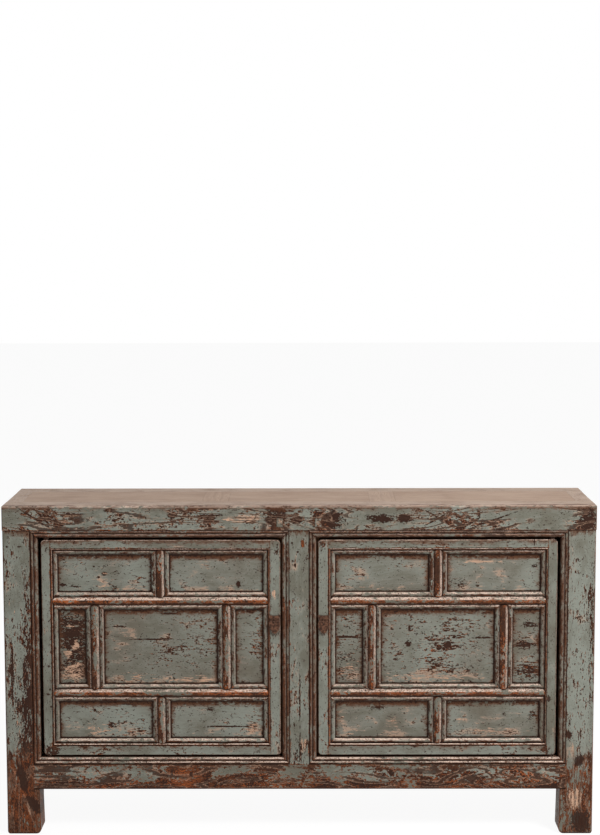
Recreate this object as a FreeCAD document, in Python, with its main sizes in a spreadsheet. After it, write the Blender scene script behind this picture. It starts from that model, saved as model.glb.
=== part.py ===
import FreeCAD, Part
import math
import os
import Sketcher
from FreeCAD import Placement, Rotation, Vector

# Low two-door cabinet of mortised frames and floating panels, in millimetres.
# X runs along the front, Y from front to back and Z up; the origin is on the floor under the middle.

DRIVING_SIZES = {
    # Whole cabinet
    "cabinet_width": 1450,
    "cabinet_depth": 300,
    "cabinet_height": 822,
    # Frame of posts and rails
    "top_rail_height": 61,
    "top_rail_depth": 66,
    "frame_inset": 2,
    "side_inset": 0.5,
    "post_width": 85.5,
    "back_post_width": 46,
    "frame_bead": 18.5,
    "foot_height": 112,
    "foot_waist": 4.5,
    "foot_flare": 2.5,
    "foot_round": 12,
    "bottom_rail_height": 63,
    "centre_post_width": 84,
    "frame_tenon": 16,
    "frame_tenon_length": 38,
    "short_tenon_length": 24,
    "back_tenon_width": 22,
    "arris_round": 5,
    "end_bevel": 2.5,
    # Frame and panels of the top
    "end_rail_width": 42,
    "cross_rail_width": 64,
    "cross_rail_height": 40,
    "cross_rail_offset": 207,
    "top_panel_thickness": 18,
    "tongue_thickness": 7,
    "tongue_lip": 4,
    "joint_line": 0.4,
    # Boards of the sides, back and floor
    "side_rail_depth": 40,
    "board_thickness": 10,
    "board_setback": 8,
    "back_stile_width": 70,
    "back_stile_depth": 30,
    "floor_thickness": 15,
    "bearer_width": 44,
    "bearer_height": 28,
    "bearer_tenon": 14,
    "stop_width": 106,
    "stop_thickness": 12,
    "plug_width": 16,
    "plug_height": 22,
    "plug_length": 30,
    "plug_proud": 1.5,
    "plug_bevel": 1.4,
    "plug_offset": 47,
    "plug_drop": 42,
    # Doors
    "hinge_gap": 7.5,
    "centre_gap": 4,
    "top_gap": 6.5,
    "bottom_gap": 4,
    "door_thickness": 26,
    "door_recess": 4,
    "door_stop_gap": 0.5,
    "hinge_stile_flat": 22,
    "pull_stile_flat": 25,
    "top_flat": 20,
    "bottom_flat": 24,
    "door_corner_round": 10,
    "door_arris": 2,
    "door_tenon": 8,
    "door_tenon_setback": 11,
    "door_tenon_margin": 4,
    "rail_tenon_length": 16,
    "muntin_tenon_length": 14,
    "stub_tenon_length": 8,
    "stub_tenon_width": 12,
    "arris_bead": 5.5,
    "side_reed": 11.5,
    "core_reed": 20,
    "side_panel_width": 69,
    "middle_row_height": 187,
    # Depth of the mouldings behind the face they are cut in
    "quirk_depth": 3.5,
    "bead_setback": 0.7,
    "inner_bead_fall": 2.5,
    "core_shoulder": 5,
    "core_tip": 9,
    "reed_foot": 6,
    "reed_setback": 4,
    "reed_fall": 3.2,
    # Door panels
    "panel_setback": 13,
    "groove_width": 7,
    "groove_depth": 6,
    "panel_thickness": 9,
    "panel_bevel_rise": 3,
    "panel_bevel_width": 20,
    "panel_play": 1,
    # Wooden door pivots
    "pivot_inset": 13,
    "pivot_setback": 10,
    "pivot_radius": 7,
    "pivot_play": 0.06,
    "pivot_reach": 12,
    "pivot_end_play": 0.5,
    "pivot_root": 3,
    # Door pulls
    "pull_height": 534.5,
    "pull_inset": 14,
    "plate_width": 28,
    "plate_rise": 16,
    "plate_drop": 8,
    "plate_thickness": 1.4,
    "ring_radius": 3.4,
    "ring_strip": 1.6,
    "ring_seat": 0.2,
    "leg_width": 3,
    "clinch_length": 11,
    "drop_width": 27,
    "drop_length": 30,
    "drop_thickness": 1.4,
    "drop_bridge": 1.7,
    "drop_hole": 1.4,
    "drop_hole_sag": 0.1,
}

# Planes of a piece's own frame: its face seen from the front, its cross-section and its plan.
FACE = "XZ_Plane"
SECTION = "YZ_Plane"
PLAN = "XY_Plane"

# How far a cutting outline reaches past the wood that it cuts.
OVERCUT = 3

# Part of a corner's radius between the corner and the crest of its quarter round, along each side.
CREST = 1 - 0.5 ** 0.5

# Places nearer than this count as the same.
CLOSE = 0.01

# How many flats round each corner of a core reed's tip.
TIP_FLATS = 3

# Share of the cabinet frame's moulding that its outer reed takes.
OUTER_REED_SHARE = 0.46

# How far across a door's low reed its crest lies, from the high side.
LOW_REED_CREST = 0.45

# The worn outer toe of a foot, as a share of the rounding of the inner one.
TOE_SHARE = 0.6


class Length:
    """A length with its value and the formula in sheet cells that gives it."""

    def __init__(self, value, formula):
        self.value = float(value)
        self.formula = formula

    def __add__(self, other):
        other = as_length(other)
        return Length(self.value + other.value, f"({self.formula} + {other.formula})")

    def __sub__(self, other):
        other = as_length(other)
        return Length(self.value - other.value, f"({self.formula} - {other.formula})")

    def __mul__(self, factor):
        return Length(self.value * factor, f"({self.formula} * ({factor}))")

    def __truediv__(self, divisor):
        return Length(self.value / divisor, f"({self.formula} / {divisor})")

    def __neg__(self):
        return Length(-self.value, f"(0 - {self.formula})")

    def __radd__(self, other):
        return as_length(other) + self

    def __rsub__(self, other):
        return as_length(other) - self

    def __rmul__(self, factor):
        return self * factor


def as_length(number):
    """Return a plain number as a Length, and a Length as it is."""
    if isinstance(number, Length):
        return number
    return Length(number, f"({number})")


class Sizes:
    """The driving sizes as lengths, and the sizes that follow from them."""

    def __init__(self, document):
        sheet = document.addObject("Spreadsheet::Sheet", "Sizes")
        for row, (name, value) in enumerate(DRIVING_SIZES.items(), start=1):
            sheet.set(f"A{row}", name)
            sheet.set(f"B{row}", str(value))
            sheet.setAlias(f"B{row}", name)
            setattr(self, name, Length(value, f"Sizes.{name}"))
        document.recompute()
        self.work_out_frame()
        self.work_out_doors()

    def work_out_frame(self):
        """Work out the places of the posts, rails and openings."""
        self.half_width = self.cabinet_width / 2
        self.half_depth = self.cabinet_depth / 2
        self.post_height = self.cabinet_height - self.top_rail_height
        self.post_depth = self.top_rail_depth - self.frame_inset
        self.post_flat = self.post_width - self.frame_bead
        self.post_face = self.half_depth - self.frame_inset
        self.post_side = self.half_width - self.side_inset
        self.post_back = self.post_face - self.post_depth
        self.rail_top = self.foot_height + self.bottom_rail_height
        self.rail_length = (self.post_side - self.post_flat) * 2
        self.opening_half = self.post_side - self.post_width
        self.centre_half = self.centre_post_width / 2
        self.centre_flat_half = self.centre_half - self.frame_bead
        self.board_depth = self.board_setback + self.board_thickness
        self.back_half = self.post_side - self.back_post_width
        self.back_opening = self.back_half - self.back_stile_width / 2
        self.bearer_spacing = self.opening_half / 2
        self.front_tenon_width = self.post_flat - 2 * self.frame_tenon

    def work_out_doors(self):
        """Work out the door outline and the places of its members."""
        self.door_height = (
            self.post_height - self.rail_top - 2 * self.frame_bead - self.top_gap - self.bottom_gap
        )
        self.door_width = self.opening_half - self.centre_half - self.hinge_gap - self.centre_gap
        self.door_bottom = self.rail_top + self.frame_bead + self.bottom_gap
        self.door_top = self.door_bottom + self.door_height
        self.door_outer = self.opening_half - self.hinge_gap
        self.door_face = -(self.post_face - self.door_recess)
        self.door_bead = self.arris_bead + self.side_reed
        self.muntin_half = self.core_reed / 2 + self.side_reed
        self.door_rail_length = self.door_width - self.hinge_stile_flat - self.pull_stile_flat
        self.muntin_length = self.door_rail_length - 2 * self.arris_bead
        self.field_width = self.door_rail_length - 2 * self.door_bead
        self.field_height = self.door_height - self.bottom_flat - self.top_flat - 2 * self.door_bead
        self.outer_row_height = (self.field_height - self.middle_row_height) / 2 - 2 * self.muntin_half
        self.corner_panel_width = self.field_width / 2 - self.muntin_half
        self.centre_panel_width = (
            self.field_width - 2 * self.side_panel_width - 4 * self.muntin_half
        )
        self.side_muntin_offset = self.centre_panel_width / 2 + self.muntin_half
        self.lower_muntin = self.bottom_flat + self.door_bead + self.outer_row_height + self.muntin_half
        self.upper_muntin = self.lower_muntin + self.middle_row_height + 2 * self.muntin_half
        self.short_muntin_length = (
            self.lower_muntin - self.core_reed / 2 - self.bottom_flat - self.arris_bead
        )
        self.side_muntin_length = self.middle_row_height + 2 * self.side_reed
        self.door_centre = self.door_outer - self.hinge_stile_flat - self.door_rail_length / 2
        self.pivot_x = self.door_outer - self.pivot_inset
        self.pull_x = self.door_outer - self.door_width + self.pull_inset
        self.ring_outer = self.ring_radius + self.ring_strip / 2
        self.pull_reach = self.plate_thickness + self.ring_outer - self.ring_seat


def quarter_round(x, y, radius, from_x, from_y):
    """Return the start and end of a quarter round that takes off the corner at x, y.

    from_x and from_y are the directions, 1 or -1, from the corner into the piece.
    """
    crest_x = x + radius * (from_x * CREST)
    crest_y = y + radius * (from_y * CREST)
    return [(x + radius * from_x, y, crest_x, crest_y), (x, y + radius * from_y)]


class Piece:
    """One wooden or iron piece, made in its own frame and then put in its place.

    A long member runs along its own X, has its face at Y zero and its moulding at the side of
    rising Z. A member that is turned end for end has its places counted from the other end.
    """

    def __init__(self, cabinet, label, length=0, turned=False):
        self.body = cabinet.addObject("PartDesign::Body", label)
        self.body.Label = label
        self.length = as_length(length)
        self.turned = turned

    def at(self, place):
        """Return where a place along the member lies in the piece's own frame."""
        return self.length - place if self.turned else as_length(place)

    def span_start(self, first, last):
        """Return the lower end, in the piece's own frame, of a span along the member."""
        return self.length - last if self.turned else as_length(first)

    def sketch(self, plane, outlines, offset=0):
        """Draw closed outlines on a plane of the body, each corner dimensioned from its origin.

        A corner is (x, y), or (x, y, crest_x, crest_y) where an arc through that crest follows.
        """
        sketch = self.body.newObject("Sketcher::SketchObject", "Outline")
        for feature in self.body.Origin.OriginFeatures:
            if feature.Role == plane:
                sketch.AttachmentSupport = [(feature, "")]
        sketch.MapMode = "FlatFace"
        sketch.setExpression("AttachmentOffset.Base.z", as_length(offset).formula)
        for outline in outlines:
            draw_outline(sketch, outline)
        return sketch

    def pad(self, plane, outline, length, backward=False, offset=0):
        """Add a prism on an outline."""
        profile = self.sketch(plane, [outline], offset)
        pad = self.body.newObject("PartDesign::Pad", "Pad")
        pad.Profile = profile
        pad.Reversed = backward
        pad.setExpression("Length", as_length(length).formula)

    def cut(self, plane, outlines, backward=False, depth=None):
        """Cut outlines to a depth, or right through the piece where none is given."""
        profile = self.sketch(plane, outlines)
        pocket = self.body.newObject("PartDesign::Pocket", "Cut")
        pocket.Profile = profile
        pocket.Reversed = backward
        if depth is None:
            pocket.Type = "ThroughAll"
        else:
            pocket.setExpression("Length", depth.formula)

    def block(self, kind, corner, size):
        """Add or cut a block, given its lowest corner and its three sizes."""
        block = self.body.newObject(f"PartDesign::{kind}Box", "Block")
        for name, side in zip(("Length", "Width", "Height"), size):
            block.setExpression(name, as_length(side).formula)
        bind_place(block, corner)

    def rod(self, kind, axis, radius, start, length):
        """Add or cut a rod along an axis of the piece, from the middle of its lower end."""
        turns = {
            "x": Rotation(Vector(0, 1, 0), 90),
            "y": Rotation(Vector(1, 0, 0), -90),
            "z": Rotation(),
        }
        rod = self.body.newObject(f"PartDesign::{kind}Cylinder", "Rod")
        rod.setExpression("Radius", as_length(radius).formula)
        rod.setExpression("Height", as_length(length).formula)
        rod.Placement = Placement(Vector(), turns[axis])
        bind_place(rod, start)

    def bevel_edges(self, width, chosen):
        """Bevel the edges of the piece so far that the test picks by their middle and ends."""
        self.body.Document.recompute()
        base = self.body.Tip
        names = []
        for number, edge in enumerate(base.Shape.Edges, start=1):
            points = [edge.valueAt(place) for place in edge_places(edge)]
            if all(chosen(point) for point in points):
                names.append(f"Edge{number}")
        bevel = self.body.newObject("PartDesign::Chamfer", "Bevel")
        bevel.Base = (base, names)
        bevel.setExpression("Size", as_length(width).formula)

    def place(self, x, y, z, roll=0, yaw=0):
        """Roll the piece about Y, then turn it about Z, and move it to its place."""
        turn = Rotation(Vector(0, 0, 1), yaw) * Rotation(Vector(0, 1, 0), roll)
        self.body.Placement = Placement(Vector(), turn)
        bind_place(self.body, (x, y, z))
        return self.body


def edge_places(edge):
    """Return the parameters of an edge at its ends and middle."""
    first = edge.FirstParameter
    last = edge.LastParameter
    return (first, (first + last) / 2, last)


def bind_place(thing, corner):
    """Bind the place of a body or a feature to formulas."""
    for axis, length in zip("xyz", corner):
        thing.setExpression(f"Placement.Base.{axis}", as_length(length).formula)


def draw_outline(sketch, outline):
    """Draw one closed outline of lines and arcs, dimensioned from the sketch's origin."""
    corners = [[as_length(number) for number in corner] for corner in outline]
    points = [Vector(corner[0].value, corner[1].value, 0) for corner in corners]
    edges = []
    for index, corner in enumerate(corners):
        start = points[index]
        finish = points[(index + 1) % len(points)]
        if len(corner) == 4:
            crest = Vector(corner[2].value, corner[3].value, 0)
            edges.append(sketch.addGeometry(Part.Arc(start, crest, finish), False))
        else:
            edges.append(sketch.addGeometry(Part.LineSegment(start, finish), False))
    # An edge's first end is number 1, but an arc drawn clockwise is stored from its other end.
    first_ends = []
    for edge, start in zip(edges, points):
        at_start = sketch.getPoint(edge, 1).distanceToPoint(start) < 1e-6
        first_ends.append(1 if at_start else 2)
    for index, edge in enumerate(edges):
        following = (index + 1) % len(edges)
        last_end = 3 - first_ends[index]
        join = Sketcher.Constraint("Coincident", edge, last_end, edges[following], first_ends[following])
        sketch.addConstraint(join)
    for edge, end, corner in zip(edges, first_ends, corners):
        dimension_point(sketch, edge, end, corner[0], corner[1])
    for edge, corner in zip(edges, corners):
        if len(corner) == 4:
            crest = Part.Point(Vector(corner[2].value, corner[3].value, 0))
            crest_point = sketch.addGeometry(crest, True)
            dimension_point(sketch, crest_point, 1, corner[2], corner[3])
            sketch.addConstraint(Sketcher.Constraint("PointOnObject", crest_point, 1, edge))


def dimension_point(sketch, geometry, end, x, y):
    """Dimension a point from the origin and bind both dimensions to the sheet."""
    for direction, length in (("DistanceX", x), ("DistanceY", y)):
        dimension = Sketcher.Constraint(direction, -1, 1, geometry, end, length.value)
        number = sketch.addConstraint(dimension)
        sketch.setExpression(f"Constraints[{number}]", length.formula)


def group(cabinet, label, bodies):
    """Gather alike pieces that share a node."""
    compound = cabinet.addObject("Part::Compound", label)
    compound.Label = label
    compound.Links = bodies
    return compound


# Sections of the mouldings, as corners in depth and in distance from the member's outer edge.


def frame_bead_section(size, flat):
    """Two reeds beside a flat, from the flat's edge to the opening."""
    outer_width = size.frame_bead * OUTER_REED_SHARE
    inner_width = size.frame_bead - outer_width
    inner_set = size.bead_setback * 2
    return [
        (0, flat),
        (size.quirk_depth, flat, size.bead_setback, flat + outer_width / 2),
        (size.quirk_depth, flat + outer_width, inner_set, flat + outer_width + inner_width / 2),
        (size.quirk_depth + size.inner_bead_fall, flat + size.frame_bead),
    ]


def frame_section(size, flat, depth):
    """Section of a cabinet frame member: rounded arris, flat and two reeds."""
    arris = quarter_round(as_length(0), as_length(0), size.arris_round, 1, 1)
    bead = frame_bead_section(size, flat)
    return arris + bead + [(depth, flat + size.frame_bead), (depth, 0)]


def plain_section(size, width, depth):
    """Section of a plain frame member with a rounded arris."""
    arris = quarter_round(as_length(0), as_length(0), size.arris_round, 1, 1)
    return arris + [(0, width), (depth, width), (depth, 0)]


def side_reed_section(size, edge, direction):
    """The low reed beside a panel and the panel's groove, going from edge in the direction."""
    brow = edge + size.side_reed * direction
    groove_end = brow - size.groove_depth * direction
    groove_back = size.panel_setback + size.groove_width
    return [
        (
            size.reed_foot,
            edge,
            size.reed_setback,
            edge + size.side_reed * (direction * LOW_REED_CREST),
        ),
        (size.reed_setback + size.reed_fall, brow),
        (size.panel_setback, brow),
        (size.panel_setback, groove_end),
        (groove_back, groove_end),
        (groove_back, brow),
        (size.door_thickness, brow),
    ]


def door_frame_section(size, flat):
    """Section of a door stile or rail: flat, arris bead, low reed and panel groove."""
    bead_edge = flat + size.arris_bead
    bead = [
        (0, flat),
        (size.quirk_depth, flat, size.bead_setback, flat + size.arris_bead / 2),
        (size.quirk_depth, bead_edge),
    ]
    return [(0, 0)] + bead + side_reed_section(size, bead_edge, 1) + [(size.door_thickness, 0)]


def muntin_section(size):
    """Section of a muntin: a high reed between two low ones, with a groove each side."""
    half = size.core_reed / 2
    upper = side_reed_section(size, half, 1)
    lower = side_reed_section(size, -half, -1)
    # The lower side is walked back from the rear face to the core, so its arc starts at the brow.
    crest = lower[0][2:]
    lower_back = [corner[:2] for corner in reversed(lower)]
    brow = lower_back[-2] + crest
    lower_back = lower_back[:-2] + [brow, lower_back[-1]]
    core = [(size.core_shoulder, -half, 0, 0), (size.core_shoulder, half)]
    return core + upper + lower_back


def mitre_cuts(piece, start, finish, edge, direction=1):
    """Outlines that mitre a moulding at both ends and take it off beyond them.

    start and finish are the places where the mitres begin at the moulding's edge.
    """
    near = start + piece.bead + OVERCUT
    far = finish - piece.bead - OVERCUT
    top = edge + (piece.bead + OVERCUT) * direction
    first = [(-OVERCUT, edge), (start, edge), (near, top), (-OVERCUT, top)]
    beyond = piece.length + OVERCUT
    last = [(beyond, edge), (finish, edge), (far, top), (beyond, top)]
    return [[(piece.at(x), z) for x, z in outline] for outline in (first, last)]


def notch(piece, place, core, reed, edge, direction=1):
    """Outline of the notch that takes the mitred tip of a member that meets this one."""
    top = edge + (reed + OVERCUT) * direction
    near = core / 2
    far = core / 2 + reed + OVERCUT
    corners = [(place - near, edge), (place + near, edge), (place + far, top), (place - far, top)]
    return [(piece.at(x), z) for x, z in corners]


# Frame of the cabinet


def front_post(cabinet, size, side):
    """Front post with its reeded inner edge, foot, top tenon, mortises and side groove."""
    label = "post_front_left" if side < 0 else "post_front_right"
    piece = Piece(cabinet, label, size.post_height, turned=side < 0)
    piece.bead = size.frame_bead
    piece.pad(SECTION, frame_section(size, size.post_flat, size.post_depth), size.post_height)
    piece.cut(FACE, mitre_cuts(piece, size.rail_top, size.post_height, size.post_flat))
    add_foot(piece, size)
    finish_post(piece, size, size.post_flat, size.front_tenon_width)
    face = -size.post_face
    if side < 0:
        return piece.place(-size.post_side, face, size.post_height, roll=90)
    return piece.place(size.post_side, face, 0, roll=-90)


def back_post(cabinet, size, side):
    """Back post: plain and narrower, with grooves for the side and back boards."""
    label = "post_back_left" if side < 0 else "post_back_right"
    piece = Piece(cabinet, label, size.post_height, turned=side > 0)
    width = size.back_post_width
    piece.pad(SECTION, plain_section(size, width, size.post_depth), size.post_height)
    piece.cut(FACE, [toe_cut(piece, size.foot_round * TOE_SHARE, width, -1)])
    finish_post(piece, size, width, size.back_tenon_width)
    groove = (
        piece.span_start(size.rail_top, size.post_height),
        size.board_setback,
        width - size.groove_depth,
    )
    reach = size.groove_depth + OVERCUT
    piece.block("Subtractive", groove, (size.post_height - size.rail_top, size.board_thickness, reach))
    if side > 0:
        return piece.place(size.post_side, size.post_face, size.post_height, roll=90, yaw=180)
    return piece.place(-size.post_side, size.post_face, 0, roll=-90, yaw=180)


def add_foot(piece, size):
    """Fill in the foot below the bottom rail, with a narrow waist and a worn inner toe."""
    waist = size.post_width - size.foot_waist
    toe = waist + size.foot_flare
    radius = size.foot_round
    inside = size.post_flat - OVERCUT
    crest = (radius * CREST, toe - radius * CREST)
    corners = [
        (0, inside),
        (size.foot_height, inside),
        (size.foot_height, waist),
        (radius, toe, *crest),
        (0, toe - radius),
    ]
    outline = [(piece.at(corner[0]), corner[1]) for corner in corners]
    outline[3] = (*outline[3], piece.at(crest[0]), crest[1])
    piece.pad(FACE, outline, size.post_depth, backward=True)


def toe_cut(piece, radius, edge, direction):
    """Outline that rounds the toe of a post at its edge; direction leads from there into the post."""
    start, finish = quarter_round(as_length(0), as_length(edge), radius, 1, direction)
    below = piece.at(-OVERCUT)
    beyond = edge - OVERCUT * direction
    return [
        (piece.at(start[0]), start[1], piece.at(start[2]), start[3]),
        (piece.at(finish[0]), finish[1]),
        (below, finish[1]),
        (below, beyond),
        (piece.at(start[0]), beyond),
    ]


def finish_post(piece, size, rail_edge, tenon_width):
    """Give a post its worn outer toe, top tenon, rail mortises and side board groove.

    rail_edge is where the bottom rail meets the post, across the post's face.
    """
    tenon = size.frame_tenon
    tenon_length = size.frame_tenon_length
    piece.cut(FACE, [toe_cut(piece, size.foot_round * TOE_SHARE, 0, 1)])
    top = piece.span_start(size.post_height, size.post_height + tenon_length)
    piece.block("Additive", (top, tenon, tenon), (tenon_length, tenon, tenon_width))
    rail_tenon_height = size.bottom_rail_height - tenon
    low = piece.span_start(size.foot_height + tenon / 2, size.foot_height + tenon / 2 + rail_tenon_height)
    rail_mortise = (low, tenon, rail_edge - tenon_length)
    piece.block("Subtractive", rail_mortise, (rail_tenon_height, tenon, tenon_length + OVERCUT))
    side_mortise = (low, size.post_depth - size.short_tenon_length, size.board_setback)
    side_size = (rail_tenon_height, size.short_tenon_length + OVERCUT, size.board_thickness)
    piece.block("Subtractive", side_mortise, side_size)
    groove_start = piece.span_start(size.rail_top, size.post_height)
    groove = (groove_start, size.post_depth - size.groove_depth, size.board_setback)
    groove_size = (
        size.post_height - size.rail_top,
        size.groove_depth + OVERCUT,
        size.board_thickness,
    )
    piece.block("Subtractive", groove, groove_size)


def top_rail_front(cabinet, size):
    """Front rail of the top: reeded under its face, with mortises, pivot sockets and plug holes."""
    length = size.cabinet_width
    height = size.top_rail_height
    piece = Piece(cabinet, "top_rail_front", length)
    piece.bead = size.frame_bead
    piece.pad(SECTION, frame_section(size, height, size.top_rail_depth), length)
    post_edge = size.side_inset + size.post_flat
    cuts = mitre_cuts(piece, post_edge, length - post_edge, height)
    centre = notch(piece, length / 2, 2 * size.centre_flat_half, size.frame_bead, height)
    piece.cut(FACE, cuts + [centre])
    bevel_rail_ends(piece, size)
    cut_top_rail_joints(piece, size, size.front_tenon_width)
    centre_tenon = size.centre_flat_half
    tenon = size.frame_tenon
    corner = (length / 2 - centre_tenon / 2, size.frame_inset + tenon / 2, height - size.short_tenon_length)
    piece.block("Subtractive", corner, (centre_tenon, tenon, size.short_tenon_length + OVERCUT))
    for side in (-1, 1):
        socket = (
            length / 2 + size.pivot_x * side,
            size.frame_inset + size.door_recess + size.pivot_setback,
            height + size.frame_bead - size.pivot_reach - size.pivot_end_play,
        )
        bore = size.pivot_radius + size.pivot_play
        piece.rod("Subtractive", "z", bore, socket, size.pivot_reach + size.pivot_end_play + OVERCUT)
        hole = (
            length / 2 + size.plug_offset * side - size.plug_width / 2,
            -OVERCUT,
            size.plug_drop - size.plug_height / 2,
        )
        hole_depth = size.plug_length - size.plug_proud + OVERCUT
        piece.block("Subtractive", hole, (size.plug_width, hole_depth, size.plug_height))
    return piece.place(size.half_width, -size.half_depth, size.cabinet_height, roll=180)


def top_rail_back(cabinet, size):
    """Back rail of the top: plain, with the same joints and a groove for the back boards."""
    length = size.cabinet_width
    height = size.top_rail_height
    piece = Piece(cabinet, "top_rail_back", length)
    piece.pad(SECTION, plain_section(size, height, size.top_rail_depth), length)
    bevel_rail_ends(piece, size)
    cut_top_rail_joints(piece, size, size.back_tenon_width)
    start = size.side_inset + size.back_post_width
    setback = size.frame_inset + size.board_setback
    groove = (start, setback, height - size.groove_depth)
    groove_size = (length - 2 * start, size.board_thickness, size.groove_depth + OVERCUT)
    piece.block("Subtractive", groove, groove_size)
    tenon = size.frame_tenon
    corner = (length / 2 - tenon, setback, height - size.short_tenon_length)
    piece.block("Subtractive", corner, (2 * tenon, size.board_thickness, size.short_tenon_length + OVERCUT))
    return piece.place(-size.half_width, size.half_depth, size.cabinet_height, roll=180, yaw=180)


def bevel_rail_ends(piece, size):
    """Take off the sharp edges of the top at both ends of a rail."""
    length = piece.length.value
    front = size.arris_round.value + CLOSE

    def on_end_arris(point):
        at_end = min(point.x, length - point.x) < CLOSE
        return at_end and (point.y < front or point.z < CLOSE)

    piece.bevel_edges(size.end_bevel, on_end_arris)


def cut_top_rail_joints(piece, size, tenon_width):
    """Cut the mortises for posts, end rails and cross rails, and the groove for the top panels."""
    length = piece.length
    height = size.top_rail_height
    depth = size.top_rail_depth
    tenon = size.frame_tenon
    back = depth - size.short_tenon_length
    deep = size.short_tenon_length + OVERCUT
    for turned in (False, True):
        piece.turned = turned
        first = size.side_inset + tenon
        corner = (
            piece.span_start(first, first + tenon_width),
            size.frame_inset + tenon,
            height - size.frame_tenon_length,
        )
        mortise = (tenon_width, tenon, size.frame_tenon_length + OVERCUT)
        piece.block("Subtractive", corner, mortise)
        end_start = piece.span_start(tenon, tenon + size.end_rail_width - 1.5 * tenon)
        end_size = (size.end_rail_width - 1.5 * tenon, deep, height - 2 * tenon)
        piece.block("Subtractive", (end_start, back, tenon), end_size)
        cross_middle = length / 2 - size.cross_rail_offset
        cross_half = size.cross_rail_width / 2 - tenon / 2
        cross_start = piece.span_start(cross_middle - cross_half, cross_middle + cross_half)
        piece.block("Subtractive", (cross_start, back, tenon), (2 * cross_half, deep, tenon))
    piece.turned = False
    groove = (size.end_rail_width, depth - size.groove_depth, size.tongue_lip)
    groove_length = length - 2 * size.end_rail_width
    piece.block("Subtractive", groove, (groove_length, size.groove_depth + OVERCUT, size.tongue_thickness))


def top_end_rail(cabinet, size, side):
    """End rail of the top, tenoned between front and back rail, grooved for panel and side board."""
    label = "top_end_rail_left" if side < 0 else "top_end_rail_right"
    length = size.cabinet_depth - 2 * size.top_rail_depth
    height = size.top_rail_height
    tenon = size.frame_tenon
    piece = Piece(cabinet, label, length)
    piece.pad(SECTION, plain_section(size, height, size.end_rail_width), length)
    corner = (-size.short_tenon_length, tenon, tenon)
    whole = length + 2 * size.short_tenon_length
    tenon_size = (whole, size.end_rail_width - 1.5 * tenon, height - 2 * tenon)
    piece.block("Additive", corner, tenon_size)
    groove = (0, size.end_rail_width - size.groove_depth, size.tongue_lip)
    piece.block("Subtractive", groove, (length, size.groove_depth + OVERCUT, size.tongue_thickness))
    board = (0, size.side_inset + size.board_setback, height - size.groove_depth)
    piece.block("Subtractive", board, (length, size.board_thickness, size.groove_depth + OVERCUT))
    if side < 0:
        return piece.place(-size.half_width, -length / 2, size.cabinet_height, roll=180, yaw=-90)
    return piece.place(size.half_width, length / 2, size.cabinet_height, roll=180, yaw=90)


def top_cross_rail(cabinet, size, side):
    """Cross rail of the top, flush with the panels that it holds."""
    label = "top_cross_rail_left" if side < 0 else "top_cross_rail_right"
    length = size.cabinet_depth - 2 * size.top_rail_depth
    half = size.cross_rail_width / 2
    tenon = size.frame_tenon
    groove_end = half - size.groove_depth
    near = size.cross_rail_height - size.tongue_lip
    far = near - size.tongue_thickness
    section = [
        (-half, 0),
        (-half, far),
        (-groove_end, far),
        (-groove_end, near),
        (-half, near),
        (-half, size.cross_rail_height),
        (half, size.cross_rail_height),
        (half, near),
        (groove_end, near),
        (groove_end, far),
        (half, far),
        (half, 0),
    ]
    piece = Piece(cabinet, label, length)
    piece.pad(SECTION, section, length)
    corner = (-size.short_tenon_length, tenon / 2 - half, size.cross_rail_height - 2 * tenon)
    piece.block("Additive", corner, (length + 2 * size.short_tenon_length, 2 * half - tenon, tenon))
    bottom = size.cabinet_height - size.cross_rail_height
    return piece.place(size.cross_rail_offset * side, -length / 2, bottom, yaw=90)


def top_panel(cabinet, size, place):
    """Floating panel of the top, flush with its frame, with a tongue on all four sides."""
    label = {-1: "top_panel_left", 0: "top_panel_centre", 1: "top_panel_right"}[place]
    inner = size.cross_rail_offset - size.cross_rail_width / 2
    outer_start = size.cross_rail_offset + size.cross_rail_width / 2
    outer = size.half_width - size.end_rail_width - outer_start
    width = 2 * inner if place == 0 else outer
    middle = as_length(0) if place == 0 else (outer_start + outer / 2) * place
    depth = size.cabinet_depth - 2 * size.top_rail_depth
    reach = size.groove_depth - size.panel_play
    lip = size.tongue_lip + size.tongue_thickness
    piece = Piece(cabinet, label, width)
    half = width / 2 - size.joint_line
    rise = depth / 2 - size.joint_line
    long_half = width / 2 + reach
    deep_half = depth / 2 + reach
    thickness = size.top_panel_thickness
    tongue = size.tongue_thickness
    piece.block("Additive", (-half, -rise, -thickness), (2 * half, 2 * rise, thickness))
    piece.block("Additive", (-long_half, -rise, -lip), (2 * long_half, 2 * rise, tongue))
    piece.block("Additive", (-half, -deep_half, -lip), (2 * half, 2 * deep_half, tongue))
    return piece.place(middle, 0, size.cabinet_height)


def bottom_rail_front(cabinet, size):
    """Bottom front rail: reeded on its upper edge, with pivot sockets and bearer housings."""
    length = size.rail_length
    height = size.bottom_rail_height
    piece = Piece(cabinet, "bottom_rail_front", length)
    piece.bead = size.frame_bead
    piece.pad(SECTION, frame_section(size, height, size.post_depth), length)
    cuts = mitre_cuts(piece, as_length(0), length, height)
    centre = notch(piece, length / 2, 2 * size.centre_flat_half, size.frame_bead, height)
    piece.cut(FACE, cuts + [centre])
    finish_bottom_rail(piece, size)
    centre_tenon = size.centre_flat_half
    tenon = size.frame_tenon
    corner = (length / 2 - centre_tenon / 2, tenon / 2, height - size.short_tenon_length)
    piece.block("Subtractive", corner, (centre_tenon, tenon, size.short_tenon_length + OVERCUT))
    for side in (-1, 1):
        socket = (
            length / 2 + size.pivot_x * side,
            size.door_recess + size.pivot_setback,
            height + size.frame_bead - size.pivot_reach - size.pivot_end_play,
        )
        bore = size.pivot_radius + size.pivot_play
        piece.rod("Subtractive", "z", bore, socket, size.pivot_reach + size.pivot_end_play + OVERCUT)
    return piece.place(-length / 2, -size.post_face, size.foot_height)


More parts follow.
